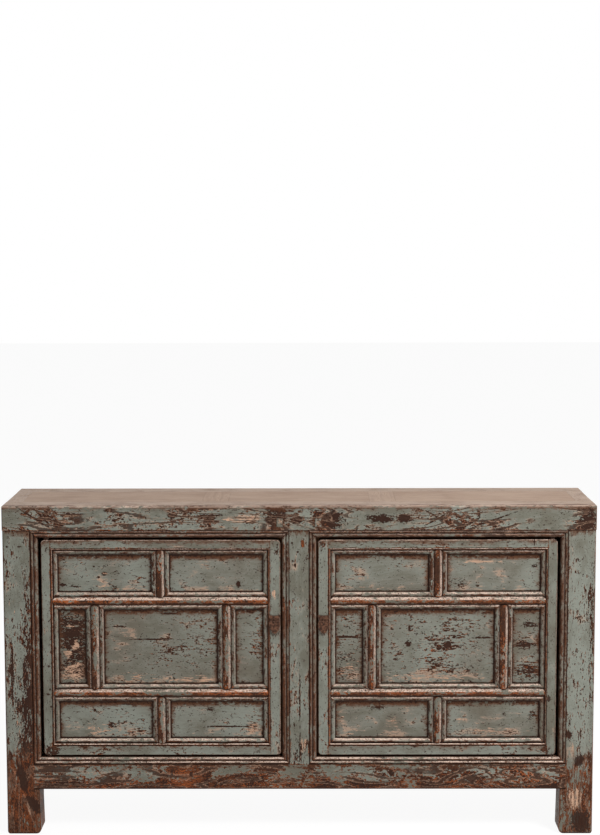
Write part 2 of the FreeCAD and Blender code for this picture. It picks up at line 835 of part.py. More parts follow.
def bottom_rail_back(cabinet, size):
    """Bottom back rail: plain, with a groove for the back boards and bearer housings."""
    length = 2 * size.back_half
    height = size.bottom_rail_height
    piece = Piece(cabinet, "bottom_rail_back", length)
    piece.pad(SECTION, plain_section(size, height, size.post_depth), length)
    finish_bottom_rail(piece, size)
    groove = (0, size.board_setback, height - size.groove_depth)
    piece.block("Subtractive", groove, (length, size.board_thickness, size.groove_depth + OVERCUT))
    tenon = size.frame_tenon
    corner = (length / 2 - tenon, size.board_setback, height - size.short_tenon_length)
    piece.block("Subtractive", corner, (2 * tenon, size.board_thickness, size.short_tenon_length + OVERCUT))
    return piece.place(length / 2, size.post_face, size.foot_height, yaw=180)


def finish_bottom_rail(piece, size):
    """Give a bottom rail its end tenons and the housings for the floor bearers."""
    tenon = size.frame_tenon
    corner = (-size.frame_tenon_length, tenon, tenon / 2)
    whole = piece.length + 2 * size.frame_tenon_length
    piece.block("Additive", corner, (whole, tenon, size.bottom_rail_height - tenon))
    bearer_top = size.bottom_rail_height - size.floor_thickness
    for place in (-1, 0, 1):
        middle = piece.length / 2 + size.bearer_spacing * place
        housing = (
            middle - size.bearer_width / 2,
            size.post_depth - size.bearer_tenon,
            bearer_top - size.bearer_height,
        )
        housing_size = (size.bearer_width, size.bearer_tenon + OVERCUT, size.bearer_height)
        piece.block("Subtractive", housing, housing_size)


def bottom_side_rail(cabinet, size, side):
    """Bottom rail of a side, tenoned between front and back post, grooved for the side board."""
    label = "bottom_side_rail_left" if side < 0 else "bottom_side_rail_right"
    length = 2 * size.post_back
    height = size.bottom_rail_height
    tenon = size.frame_tenon
    piece = Piece(cabinet, label, length)
    piece.pad(SECTION, plain_section(size, height, size.side_rail_depth), length)
    corner = (-size.short_tenon_length, size.board_setback, tenon / 2)
    whole = length + 2 * size.short_tenon_length
    piece.block("Additive", corner, (whole, size.board_thickness, height - tenon))
    groove = (0, size.board_setback, height - size.groove_depth)
    piece.block("Subtractive", groove, (length, size.board_thickness, size.groove_depth + OVERCUT))
    if side < 0:
        return piece.place(-size.post_side, length / 2, size.foot_height, yaw=-90)
    return piece.place(size.post_side, -length / 2, size.foot_height, yaw=90)


def centre_post(cabinet, size):
    """Post between the doors: a flat between two pairs of reeds, mitred into both rails."""
    length = size.post_height - size.rail_top
    half = size.centre_flat_half
    depth = size.door_recess + size.door_thickness + size.door_stop_gap
    upper = frame_bead_section(size, half)
    lower = mirrored_bead(size, half)
    piece = Piece(cabinet, "centre_post", length)
    piece.bead = size.frame_bead
    piece.pad(SECTION, lower + upper + [(depth, size.centre_half), (depth, -size.centre_half)], length)
    start = as_length(0)
    cuts = mitre_cuts(piece, start, length, half) + mitre_cuts(piece, start, length, -half, -1)
    piece.cut(FACE, cuts)
    tenon = size.frame_tenon
    corner = (-size.short_tenon_length, tenon / 2, -half / 2)
    piece.block("Additive", corner, (length + 2 * size.short_tenon_length, tenon, half))
    return piece.place(0, -size.post_face, size.rail_top, roll=-90)


def mirrored_bead(size, half):
    """The reeds on the other side of a centre flat, walked from the opening to the flat."""
    bead = frame_bead_section(size, half)
    corners = [(corner[0], -corner[1]) for corner in reversed(bead)]
    crests = [corner[2:] for corner in reversed(bead) if len(corner) == 4]
    for index, (depth, across) in enumerate(crests):
        corners[index] = (*corners[index], depth, -across)
    return corners


def door_stop(cabinet, size):
    """Strip behind the centre post that both doors close against."""
    length = size.door_height + size.top_gap + size.bottom_gap
    piece = Piece(cabinet, "door_stop", length)
    depth = size.door_recess + size.door_thickness + size.door_stop_gap
    half = size.stop_width / 2
    bevel = size.stop_thickness / 2
    section = [
        (0, -half),
        (0, half),
        (bevel, half),
        (size.stop_thickness, half - bevel),
        (size.stop_thickness, bevel - half),
        (bevel, -half),
    ]
    piece.pad(SECTION, section, length)
    return piece.place(0, depth - size.post_face, size.rail_top + size.frame_bead, roll=-90)


def rail_plugs(cabinet, size):
    """Two square pegs with chamfered heads in the face of the top rail."""
    pegs = []
    for number, side in enumerate((-1, 1), start=1):
        piece = Piece(cabinet, f"rail_plug_{number}")
        half = size.plug_width / 2
        rise = size.plug_height / 2
        outline = [(-half, -rise), (half, -rise), (half, rise), (-half, rise)]
        piece.pad(FACE, outline, size.plug_length, backward=True)
        piece.bevel_edges(size.plug_bevel, lambda point: point.y < CLOSE)
        depth = -size.half_depth - size.plug_proud
        pegs.append(piece.place(size.plug_offset * side, depth, size.cabinet_height - size.plug_drop))
    return group(cabinet, "rail_plugs", pegs)


def side_board(cabinet, size, side):
    """Board that fills a side, held in grooves on all four edges."""
    label = "side_panel_left" if side < 0 else "side_panel_right"
    reach = size.groove_depth - size.panel_play
    piece = Piece(cabinet, label)
    half = size.post_back
    height = size.post_height - size.rail_top
    outer = size.post_side - size.board_setback
    x = -outer if side < 0 else outer - size.board_thickness
    thickness = size.board_thickness
    piece.block("Additive", (0, -half, -reach), (thickness, 2 * half, height + 2 * reach))
    piece.block("Additive", (0, -half - reach, 0), (thickness, 2 * (half + reach), height))
    return piece.place(x, 0, size.rail_top)


def back_stile(cabinet, size):
    """Upright between the two back panels, grooved on both edges."""
    length = size.post_height - size.rail_top
    half = size.back_stile_width / 2
    tenon = size.frame_tenon
    piece = Piece(cabinet, "back_stile", length)
    depth = size.back_stile_depth
    near = size.board_setback
    far = size.board_depth
    groove = half - size.groove_depth
    section = [
        (0, -half),
        (0, half),
        (near, half),
        (near, groove),
        (far, groove),
        (far, half),
        (depth, half),
        (depth, -half),
        (far, -half),
        (far, -groove),
        (near, -groove),
        (near, -half),
    ]
    piece.pad(SECTION, section, length)
    corner = (-size.short_tenon_length, size.board_setback, -tenon)
    piece.block("Additive", corner, (length + 2 * size.short_tenon_length, size.board_thickness, 2 * tenon))
    return piece.place(0, size.post_face, size.rail_top, roll=-90, yaw=180)


def back_panel(cabinet, size, side):
    """Panel of upright back boards, with a vee at each joint between boards."""
    label = "back_panel_left" if side < 0 else "back_panel_right"
    reach = size.groove_depth - size.panel_play
    width = size.back_opening + 2 * reach
    height = size.post_height - size.rail_top + 2 * reach
    boards = 4
    vee = size.board_thickness * 0.2
    back_face = [(width, 0)]
    for joint in range(boards - 1, 0, -1):
        middle = width * (joint / boards)
        back_face += [(middle + vee, 0), (middle, vee), (middle - vee, 0)]
    outline = [(0, 0), (0, size.board_thickness), (width, size.board_thickness)] + back_face
    piece = Piece(cabinet, label, width)
    piece.pad(PLAN, outline, height)
    corners = []
    for edge, inner in ((-OVERCUT, reach), (width + OVERCUT, width - reach)):
        for low, high in ((-OVERCUT, reach), (height + OVERCUT, height - reach)):
            corners.append([(edge, low), (inner, low), (inner, high), (edge, high)])
    piece.cut(FACE, corners)
    middle = size.back_stile_width / 2 + size.back_opening / 2
    x = middle * side + width / 2
    return piece.place(x, size.post_face - size.board_setback, size.rail_top - reach, yaw=180)


def floor_board(cabinet, size, place):
    """One of the two long boards of the floor."""
    label = "floor_board_front" if place < 0 else "floor_board_back"
    half = size.post_side - size.side_rail_depth
    piece = Piece(cabinet, label, 2 * half)
    width = size.post_back - size.joint_line
    y = -size.post_back + size.joint_line / 2 if place < 0 else size.joint_line / 2
    piece.block("Additive", (-half, 0, 0), (2 * half, width, size.floor_thickness))
    return piece.place(0, y, size.rail_top - size.floor_thickness)


def floor_bearers(cabinet, size):
    """Three bearers under the floor, housed in the front and back rail."""
    bearers = []
    length = 2 * (size.post_back + size.bearer_tenon)
    top = size.rail_top - size.floor_thickness
    for place in (-1, 0, 1):
        piece = Piece(cabinet, f"floor_bearer_{place + 2}", length)
        corner = (-size.bearer_width / 2, -length / 2, -size.bearer_height)
        piece.block("Additive", corner, (size.bearer_width, length, size.bearer_height))
        bearers.append(piece.place(size.bearer_spacing * place, 0, top))
    return group(cabinet, "floor_bearers", bearers)


# Doors. Each is drawn as the left one and put in its place by side, -1 for left and 1 for right.


def door_label(side, name):
    """Return a node name with the side of its door."""
    return ("left_door_" if side < 0 else "right_door_") + name


def cut_tenon_slot(piece, size, first, last, edge, depth, direction=1):
    """Cut a mortise for a door tenon, from a moulding's edge into the member."""
    start = piece.span_start(first, last)
    low = edge - depth if direction > 0 else edge - OVERCUT
    corner = (start, size.door_tenon_setback, low)
    piece.block("Subtractive", corner, (last - first, size.door_tenon, depth + OVERCUT))


def door_stile(cabinet, size, side, hinged):
    """Door stile with its reeded inner edge, mortises and, at the hinge side, two turned pivots."""
    name = "hinge_stile" if hinged else "pull_stile"
    flat = size.hinge_stile_flat if hinged else size.pull_stile_flat
    strip_faces_right = hinged == (side < 0)
    height = size.door_height
    piece = Piece(cabinet, door_label(side, name), height, turned=strip_faces_right)
    piece.bead = size.door_bead
    piece.pad(SECTION, door_frame_section(size, flat), height)
    cuts = mitre_cuts(piece, size.bottom_flat, height - size.top_flat, flat)
    reed_edge = flat + size.arris_bead
    for muntin in (size.lower_muntin, size.upper_muntin):
        cuts.append(notch(piece, muntin, size.core_reed, size.side_reed, reed_edge))
    piece.cut(FACE, cuts + [corner_cut(piece, size, False), corner_cut(piece, size, True)])
    soften_stile(piece, size, flat)
    rail_tenon = size.rail_tenon_length
    margin = size.door_tenon_margin
    cut_tenon_slot(piece, size, margin, size.bottom_flat - margin / 2, flat, rail_tenon)
    cut_tenon_slot(
        piece, size, height - size.top_flat + margin / 2, height - margin, flat, rail_tenon
    )
    half = size.stub_tenon_width / 2
    for muntin in (size.lower_muntin, size.upper_muntin):
        cut_tenon_slot(
            piece, size, muntin - half, muntin + half, reed_edge, size.muntin_tenon_length
        )
    if hinged:
        add_pivots(piece, size)
    else:
        leg = size.leg_width
        middle = piece.at(size.pull_height - size.door_bottom)
        corner = (middle - leg / 2, -OVERCUT, size.pull_inset - leg / 2)
        piece.block("Subtractive", corner, (leg, size.door_thickness + 2 * OVERCUT, leg))
    outer = size.door_outer if hinged else size.door_outer - size.door_width
    if strip_faces_right:
        return piece.place(outer * side, size.door_face, size.door_top, roll=90)
    return piece.place(outer * side, size.door_face, size.door_bottom, roll=-90)


def corner_cut(piece, size, far_end):
    """Outline that rounds an outer corner of the door at one end of a stile."""
    radius = size.door_corner_round
    arc_start, arc_end = quarter_round(as_length(0), as_length(0), radius, 1, 1)
    along = [arc_start[0], arc_start[2], arc_end[0], as_length(-OVERCUT), radius]
    if far_end:
        along = [piece.length - place for place in along]
    start, crest, finish, beyond, inner = along
    return [
        (start, 0, crest, arc_start[3]),
        (finish, radius),
        (beyond, radius),
        (beyond, -OVERCUT),
        (inner, -OVERCUT),
    ]


def soften_stile(piece, size, flat):
    """Bevel the front arris along the outer edge, the ends and the round corners of a stile."""
    length = piece.length.value
    corner = size.door_corner_round.value + CLOSE
    inner = flat.value + CLOSE

    def on_outer_arris(point):
        from_end = min(point.x, length - point.x)
        round_corner = from_end < corner and point.z < corner
        on_face = abs(point.y) < CLOSE and point.z < inner
        return on_face and (from_end < CLOSE or round_corner or point.z < CLOSE)

    piece.bevel_edges(size.door_arris, on_outer_arris)


def add_pivots(piece, size):
    """Add a round pivot at each end of the hinge stile."""
    root = size.pivot_root
    low_start = -size.bottom_gap - size.pivot_reach
    low = piece.span_start(low_start, root)
    high_end = piece.length + size.top_gap + size.pivot_reach
    high = piece.span_start(piece.length - root, high_end)
    axis = (size.pivot_setback, size.pivot_inset)
    piece.rod("Additive", "x", size.pivot_radius, (low, *axis), root - low_start)
    piece.rod("Additive", "x", size.pivot_radius, (high, *axis), high_end - piece.length + root)


def door_rail(cabinet, size, side, upper):
    """Door rail, tenoned between the stiles, with its moulding mitred into theirs."""
    name = "rail_top" if upper else "rail_bottom"
    flat = size.top_flat if upper else size.bottom_flat
    length = size.door_rail_length
    piece = Piece(cabinet, door_label(side, name), length)
    piece.bead = size.door_bead
    section = door_frame_section(size, flat)
    arris = [(size.door_arris, 0), (0, size.door_arris)]
    piece.pad(SECTION, arris + section[1:], length)
    reed_edge = flat + size.arris_bead
    cuts = mitre_cuts(piece, as_length(0), length, flat)
    cuts.append(notch(piece, length / 2, size.core_reed, size.side_reed, reed_edge))
    piece.cut(FACE, cuts)
    margin = size.door_tenon_margin
    corner = (-size.rail_tenon_length, size.door_tenon_setback, margin)
    whole = length + 2 * size.rail_tenon_length
    piece.block("Additive", corner, (whole, size.door_tenon, flat - 1.5 * margin))
    half = size.stub_tenon_width / 2
    cut_tenon_slot(
        piece, size, length / 2 - half, length / 2 + half, reed_edge, size.stub_tenon_length
    )
    left_end = size.door_centre * side - length / 2
    if upper:
        return piece.place(left_end + length, size.door_face, size.door_top, roll=180)
    return piece.place(left_end, size.door_face, size.door_bottom)


def start_muntin(cabinet, size, label, length, tenon_length):
    """Make a reeded muntin with mitred tips, a rounded core and a stub tenon at each end."""
    piece = Piece(cabinet, label, length)
    piece.bead = size.side_reed
    piece.pad(SECTION, muntin_section(size), length)
    half = size.core_reed / 2
    tips = []
    for turned in (True, False):
        piece.turned = turned
        tips += [tip_cut(piece, size, half * side, -side) for side in (-1, 1)]
    piece.cut(FACE, tips, depth=size.core_shoulder)
    start = as_length(0)
    piece.tip_cuts = mitre_cuts(piece, start, length, half)
    piece.tip_cuts += mitre_cuts(piece, start, length, -half, -1)
    tenon_half = size.stub_tenon_width / 2
    corner = (-tenon_length, size.door_tenon_setback, -tenon_half)
    whole = length + 2 * tenon_length
    piece.block("Additive", corner, (whole, size.door_tenon, size.stub_tenon_width))
    return piece


def tip_cut(piece, size, edge, direction):
    """Outline that takes a corner off the core reed's tip in short flats, as a chisel leaves it.

    direction leads from the core's edge towards its middle.
    """
    radius = size.core_tip
    corners = []
    for step in range(TIP_FLATS + 1):
        angle = math.radians(90 * step / TIP_FLATS)
        along = piece.at(radius * (1 - math.cos(angle)))
        corners.append((along, edge + radius * ((1 - math.sin(angle)) * direction)))
    beyond = piece.at(-OVERCUT)
    return corners + [(beyond, edge), (beyond, edge + radius * direction)]


def long_muntin(cabinet, size, side, upper):
    """Muntin across the door, notched for two uprights on one side and one on the other."""
    name = "muntin_upper" if upper else "muntin_lower"
    length = size.muntin_length
    label = door_label(side, name)
    piece = start_muntin(cabinet, size, label, length, size.muntin_tenon_length)
    half = size.core_reed / 2
    inner = [length / 2 - size.side_muntin_offset, length / 2 + size.side_muntin_offset]
    cuts = [notch(piece, place, size.core_reed, size.side_reed, half) for place in inner]
    cuts.append(notch(piece, length / 2, size.core_reed, size.side_reed, -half, -1))
    piece.cut(FACE, piece.tip_cuts + cuts)
    tenon_half = size.stub_tenon_width / 2
    for place in inner:
        cut_tenon_slot(
            piece, size, place - tenon_half, place + tenon_half, half, size.stub_tenon_length
        )
    cut_tenon_slot(
        piece,
        size,
        length / 2 - tenon_half,
        length / 2 + tenon_half,
        -half,
        size.stub_tenon_length,
        direction=-1,
    )
    middle = size.door_centre * side
    if upper:
        z = size.door_bottom + size.upper_muntin
        return piece.place(middle + length / 2, size.door_face, z, roll=180)
    return piece.place(middle - length / 2, size.door_face, size.door_bottom + size.lower_muntin)


def upright_muntin(cabinet, size, label, length, x, bottom):
    """Short upright between two members of the door."""
    piece = start_muntin(cabinet, size, label, length, size.stub_tenon_length)
    piece.cut(FACE, piece.tip_cuts)
    return piece.place(x, size.door_face, bottom, roll=-90)


def side_muntin(cabinet, size, side, outer):
    """Upright beside the centre panel, on the hinge side or the pull side."""
    name = "muntin_hinge_side" if outer else "muntin_pull_side"
    offset = size.side_muntin_offset * (1 if outer else -1)
    x = (size.door_centre + offset) * side
    bottom = size.door_bottom + size.lower_muntin + size.core_reed / 2
    label = door_label(side, name)
    return upright_muntin(cabinet, size, label, size.side_muntin_length, x, bottom)


def short_muntins(cabinet, size, side):
    """The two short uprights above and below the middle row."""
    x = size.door_centre * side
    length = size.short_muntin_length
    low = size.door_bottom + size.bottom_flat + size.arris_bead
    high = size.door_bottom + size.upper_muntin + size.core_reed / 2
    name = door_label(side, "short_muntin")
    uprights = [
        upright_muntin(cabinet, size, f"{name}_low", length, x, low),
        upright_muntin(cabinet, size, f"{name}_high", length, x, high),
    ]
    return group(cabinet, door_label(side, "short_muntins"), uprights)


def door_panel(cabinet, size, label, width, height, x, z):
    """Flat-faced panel with a bevelled back, its edges held in the grooves round it.

    x and z are the middle of the panel.
    """
    reach = size.groove_depth - size.panel_play
    across = width + 2 * reach
    rise = height + 2 * reach
    thickness = size.panel_thickness
    edge = thickness - size.panel_bevel_rise
    bevel = size.panel_bevel_width
    piece = Piece(cabinet, label)
    plan = [(0, 0), (across, 0), (across, edge)]
    plan += [(across - bevel, thickness), (bevel, thickness), (0, edge)]
    piece.pad(PLAN, plan, rise)
    low = [(edge, 0), (thickness, bevel), (thickness + OVERCUT, bevel), (thickness + OVERCUT, 0)]
    high = [(depth, rise - up) for depth, up in low]
    piece.cut(SECTION, [low, high], backward=True)
    return piece.place(x - across / 2, size.door_face + size.panel_setback, z - rise / 2)


def centre_panel(cabinet, size, side):
    """Large panel in the middle of a door."""
    z = size.door_bottom + (size.lower_muntin + size.upper_muntin) / 2
    return door_panel(
        cabinet,
        size,
        door_label(side, "centre_panel"),
        size.centre_panel_width,
        size.middle_row_height,
        size.door_centre * side,
        z,
    )


def side_panels(cabinet, size, side):
    """The two narrow panels beside the centre panel."""
    z = size.door_bottom + (size.lower_muntin + size.upper_muntin) / 2
    offset = size.side_muntin_offset + size.muntin_half + size.side_panel_width / 2
    panels = []
    for number, direction in enumerate((-1, 1), start=1):
        label = door_label(side, f"side_panel_{number}")
        x = size.door_centre * side + offset * direction
        panels.append(
            door_panel(cabinet, size, label, size.side_panel_width, size.middle_row_height, x, z)
        )
    return group(cabinet, door_label(side, "side_panels"), panels)


def corner_panels(cabinet, size, side):
    """The four panels of the top and bottom rows."""
    offset = size.muntin_half + size.corner_panel_width / 2
    rise = size.muntin_half + size.outer_row_height / 2
    panels = []
    for row, z in (("low", size.lower_muntin - rise), ("high", size.upper_muntin + rise)):
        for number, direction in enumerate((-1, 1), start=1):
            label = door_label(side, f"corner_panel_{row}_{number}")
            x = size.door_centre * side + offset * direction
            width = size.corner_panel_width
            height = size.outer_row_height
            panels.append(door_panel(cabinet, size, label, width, height, x, size.door_bottom + z))
    return group(cabinet, door_label(side, "corner_panels"), panels)


# Door pulls, drawn round the middle of the ring that each drop hangs from.


def pull_plate(cabinet, size, side):
    """Thin iron plate with two ears, a drawn-in waist and a pointed foot."""
    half = size.plate_width / 2
    rise = size.plate_rise
    drop = size.plate_drop
    top_dip = rise * 0.86
    ear_foot = rise * 0.62
    ear_side = rise * 0.8
    waist = half * 0.8
    waist_height = rise * 0.2
    hip = -drop * 0.4
    cusp = -drop * 0.86
    outline = [
        (half, rise, 0, top_dip),
        (-half, rise, -half * 1.02, ear_side),
        (-half * 0.94, ear_foot, -waist, waist_height),
        (-waist * 0.96, hip, -waist * 0.6, cusp),
        (0, -drop, waist * 0.6, cusp),
        (waist * 0.96, hip, waist, waist_height),
        (half * 0.94, ear_foot, half * 1.02, ear_side),
    ]
    piece = Piece(cabinet, door_label(side, "pull_plate"))
    piece.pad(FACE, outline, size.plate_thickness)
    leg = size.leg_width
    corner = (-leg / 2, -size.plate_thickness - OVERCUT, -leg / 2)
    piece.block("Subtractive", corner, (leg, size.plate_thickness + 2 * OVERCUT, leg))
    return piece.place(size.pull_x * side, size.door_face, size.pull_height)


def pull_staple(cabinet, size, side):
    """Split pin of forged strip: a ring in front, legs through the stile, clinched behind it."""
    piece = Piece(cabinet, door_label(side, "pull_staple"))
    strip = size.ring_strip
    leg = size.leg_width
    middle = (-strip / 2, -size.pull_reach, 0)
    piece.rod("Additive", "x", size.ring_outer, middle, strip)
    piece.rod("Subtractive", "x", size.ring_radius - strip / 2, middle, strip)
    leg_start = size.pull_reach - size.ring_radius
    corner = (-leg / 2, -leg_start, -leg / 2)
    piece.block("Additive", corner, (leg, leg_start + size.door_thickness + leg / 2, leg))
    corner = (-leg / 2, size.door_thickness, -size.clinch_length)
    piece.block("Additive", corner, (leg, leg / 2, 2 * size.clinch_length))
    return piece.place(size.pull_x * side, size.door_face, size.pull_height)


def pull_drop(cabinet, size, side):
    """Leaf-shaped iron drop that hangs from the ring by a pierced neck."""
    half = size.drop_width / 2
    length = size.drop_length
    shoulder = half * 0.62
    shoulder_side = half * 0.88
    belly = -length * 0.2
    flank = -length * 0.55
    neck = half * 0.42
    tip = -length * 0.88
    outline = [
        (shoulder, size.drop_bridge),
        (-shoulder, size.drop_bridge, -shoulder_side, -length * 0.02),
        (-half, belly, -half * 0.86, flank),
        (-neck, tip, 0, -length),
        (neck, tip, half * 0.86, flank),
        (half, belly, shoulder_side, -length * 0.02),
    ]
    piece = Piece(cabinet, "left_pull_drop" if side < 0 else "right_pull_drop")
    piece.pad(FACE, outline, size.drop_thickness, backward=True)
    hole = (0, -OVERCUT, -size.ring_radius - size.drop_hole_sag)
    piece.rod("Subtractive", "y", size.drop_hole, hole, size.drop_thickness + 2 * OVERCUT)
    depth = size.door_face - size.pull_reach - size.drop_thickness / 2
    return piece.place(size.pull_x * side, depth, size.pull_height)


def build_carcass(cabinet, size):
    """Build every piece that stands still."""
    nodes = [top_rail_front(cabinet, size), top_rail_back(cabinet, size)]
    for side in (-1, 1):
        nodes.append(front_post(cabinet, size, side))
        nodes.append(back_post(cabinet, size, side))
        nodes.append(top_end_rail(cabinet, size, side))
        nodes.append(top_cross_rail(cabinet, size, side))
        nodes.append(bottom_side_rail(cabinet, size, side))
        nodes.append(side_board(cabinet, size, side))
        nodes.append(back_panel(cabinet, size, side))
        nodes.append(floor_board(cabinet, size, side))
    for place in (-1, 0, 1):
        nodes.append(top_panel(cabinet, size, place))
    nodes.append(bottom_rail_front(cabinet, size))
    nodes.append(bottom_rail_back(cabinet, size))
    nodes.append(centre_post(cabinet, size))
    nodes.append(door_stop(cabinet, size))
    nodes.append(back_stile(cabinet, size))
    nodes.append(rail_plugs(cabinet, size))
    nodes.append(floor_bearers(cabinet, size))
    return nodes


def build_door(cabinet, size, side):
    """Build one door with its panels and pull."""
    return [
        door_stile(cabinet, size, side, hinged=True),
        door_stile(cabinet, size, side, hinged=False),
        door_rail(cabinet, size, side, upper=True),
        door_rail(cabinet, size, side, upper=False),
        long_muntin(cabinet, size, side, upper=True),
        long_muntin(cabinet, size, side, upper=False),
        side_muntin(cabinet, size, side, outer=True),
        side_muntin(cabinet, size, side, outer=False),
        short_muntins(cabinet, size, side),
        corner_panels(cabinet, size, side),
        side_panels(cabinet, size, side),
        centre_panel(cabinet, size, side),
        pull_plate(cabinet, size, side),
        pull_staple(cabinet, size, side),
        pull_drop(cabinet, size, side),
    ]


def check_objects(cabinet, nodes):
    """Stop when an object of the document failed or a piece has no sound shape."""
    failed = [thing.Label for thing in cabinet.Objects if {"Invalid", "Error"} & set(thing.State)]
    if failed:
        raise RuntimeError(f"objects that failed: {failed}")
    for node in nodes:
        if node.Shape.isNull() or not node.Shape.isValid() or not node.Shape.Solids:
            raise RuntimeError(f"no sound shape: {node.Label}")


def main():
    """Build the cabinet and write one file for each node."""
    cabinet = FreeCAD.newDocument("Cabinet")
    size = Sizes(cabinet)
    nodes = build_carcass(cabinet, size)
    for side in (-1, 1):
        nodes += build_door(cabinet, size, side)
    cabinet.recompute()
    check_objects(cabinet, nodes)
    os.makedirs("parts", exist_ok=True)
    for node in nodes:
        node.Shape.exportStep(os.path.join("parts", f"{node.Label}.step"))
        solids = len(node.Shape.Solids)
        print(f"{node.Label}: {solids} solid, {node.Shape.Volume / 1000:.1f} cm3")
    print(f"{len(nodes)} nodes")


main()
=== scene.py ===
"""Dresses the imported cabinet: worn paint over bare wood, rusty pulls, and a plain pale studio."""

import logging
import math
from dataclasses import dataclass
from enum import Enum

import bpy
from mathutils import Matrix, Vector

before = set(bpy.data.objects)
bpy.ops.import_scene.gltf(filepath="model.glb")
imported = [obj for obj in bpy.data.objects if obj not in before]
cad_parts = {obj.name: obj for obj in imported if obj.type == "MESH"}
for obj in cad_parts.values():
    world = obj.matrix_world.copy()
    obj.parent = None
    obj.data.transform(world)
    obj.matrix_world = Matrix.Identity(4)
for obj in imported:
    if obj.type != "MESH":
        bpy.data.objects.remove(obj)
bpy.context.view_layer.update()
PER_METRE = 1000.0

log = logging.getLogger("kang_cabinet")

Colour = tuple[float, float, float, float]
WHITE: Colour = (1.0, 1.0, 1.0, 1.0)


def paint_chip(red: int, green: int, blue: int) -> Colour:
    """Turn a colour as it is seen, 0 to 255, into the linear colour that a shader takes.

    Args:
        red: Seen red.
        green: Seen green.
        blue: Seen blue.

    Returns:
        Linear red, green and blue, and full cover.
    """
    linear = []
    for seen in (red, green, blue):
        share = seen / 255
        linear.append(share / 12.92 if share <= 0.04045 else ((share + 0.055) / 1.055) ** 2.4)
    return (linear[0], linear[1], linear[2], 1.0)


class Grain(Enum):
    """Which way the grain of a member runs."""

    ALONG = "x"
    DEEP = "y"
    UPRIGHT = "z"

    def stretch(self, share: float) -> tuple[float, float, float]:
        """Scale of a texture that is drawn out along the grain.

        Args:
            share: How much of the texture's size across the grain its size along it shrinks to.

        Returns:
            The scale along x, y and z.
        """
        return tuple(share if axis == self.value else 1.0 for axis in "xyz")


class Harm(Enum):
    """What a placed mark does to the finish under it."""

    WORN = "paint flaked to pink ground, bare wood and dark centres"
    SOILED = "dark dirt over everything"
    RUBBED = "paint rubbed off its pale pink ground"
    BARE = "bare red-brown wood"
    KEPT = "paint that has stayed where the rest has gone"


@dataclass(frozen=True)
class Mark:
    """A soft-edged patch of wear on the front, in millimetres.

    x and z are its middle, and depth says how strong the harm is. tilt, in degrees, turns its right end
    downwards.
    """

    x: float
    z: float
    half_width: float
    half_height: float
    depth: float = 2.5
    harm: Harm = Harm.WORN
    tilt: float = 0.0


TOP_RAIL_MARKS = (
    Mark(-643, 790, 48, 2, tilt=33),
    Mark(-626, 795, 31, 2, tilt=46),
    Mark(-558, 799, 24, 5, 2.2),
    Mark(-465, 811, 11, 6),
    Mark(-309, 797, 12, 9, 2.2),
    Mark(-263, 803, 3, 3, 2.0, Harm.SOILED),
    Mark(-215, 791, 12, 8, 2.4),
    Mark(-206, 798, 38, 2.5, 2.2),
    Mark(-136, 789, 54, 10, 1.1, Harm.RUBBED),
    Mark(-117, 782, 17, 5, 2.4),
    Mark(-58, 794, 26, 32, 1.9),
    Mark(-4, 785, 13, 8),
    Mark(47, 784, 16, 22, 1.7),
    Mark(88, 787, 28, 26, 1.8),
    Mark(198, 789, 34, 10, 2.8),
    Mark(198, 789, 30, 8, 1.5, Harm.SOILED),
    Mark(256, 790, 21, 11, 2.8),
    Mark(256, 790, 18, 9, 1.5, Harm.SOILED),
    Mark(330, 797, 24, 2, tilt=28),
    Mark(330, 785, 24, 2, tilt=-28),
    Mark(437, 803, 6, 9),
    Mark(417, 778, 30, 2.5, tilt=-31),
    Mark(472, 785, 58, 2, tilt=-20),
    Mark(703, 793, 26, 28, 2.0),
    Mark(-330, 786, 330, 30, 0.35, Harm.RUBBED),
    Mark(380, 786, 330, 30, 0.3, Harm.RUBBED),
)
PLUG_MARKS = (Mark(-45, 782, 6, 8, 1.2, Harm.RUBBED), Mark(48, 779, 6, 9, 1.2, Harm.RUBBED))
LEFT_POST_MARKS = (
    Mark(-713, 721, 3, 3, 2.0, Harm.SOILED),
    Mark(-682, 721, 6, 2, 2.0, Harm.SOILED),
    Mark(-706, 415, 4, 80, 1.5),
    Mark(-664, 460, 21, 270, 1.1),
    Mark(-680, 290, 26, 130, 0.8),
    Mark(-684, 60, 90, 150, 0.45, Harm.BARE),
    Mark(-690, 96, 13, 24, 0.8, Harm.BARE, tilt=8),
    Mark(-685, 140, 12, 42, 2.0, Harm.SOILED, tilt=-14),
    Mark(-658, 74, 13, 30, 2.0, Harm.SOILED, tilt=-35),
    Mark(-671, 66, 3, 20, 2.0, Harm.RUBBED, tilt=-12),
    Mark(-690, 250, 10, 60, 0.6, Harm.RUBBED),
    Mark(-700, 460, 20, 300, 0.4, Harm.RUBBED),
)
RIGHT_POST_MARKS = (
    Mark(714, 560, 12, 130, 0.9),
    Mark(665, 282, 3, 9),
    Mark(664, 249, 7, 16),
    Mark(718, 400, 9, 260, 0.9),
    Mark(684, 60, 90, 150, 0.45, Harm.BARE),
    Mark(680, 88, 19, 32, 1.6, Harm.RUBBED, tilt=10),
    Mark(694, 30, 24, 32, 2.0, Harm.SOILED),
    Mark(690, 185, 12, 18, 2.0, Harm.SOILED, tilt=30),
    Mark(668, 208, 14, 26, 1.0, Harm.RUBBED),
)
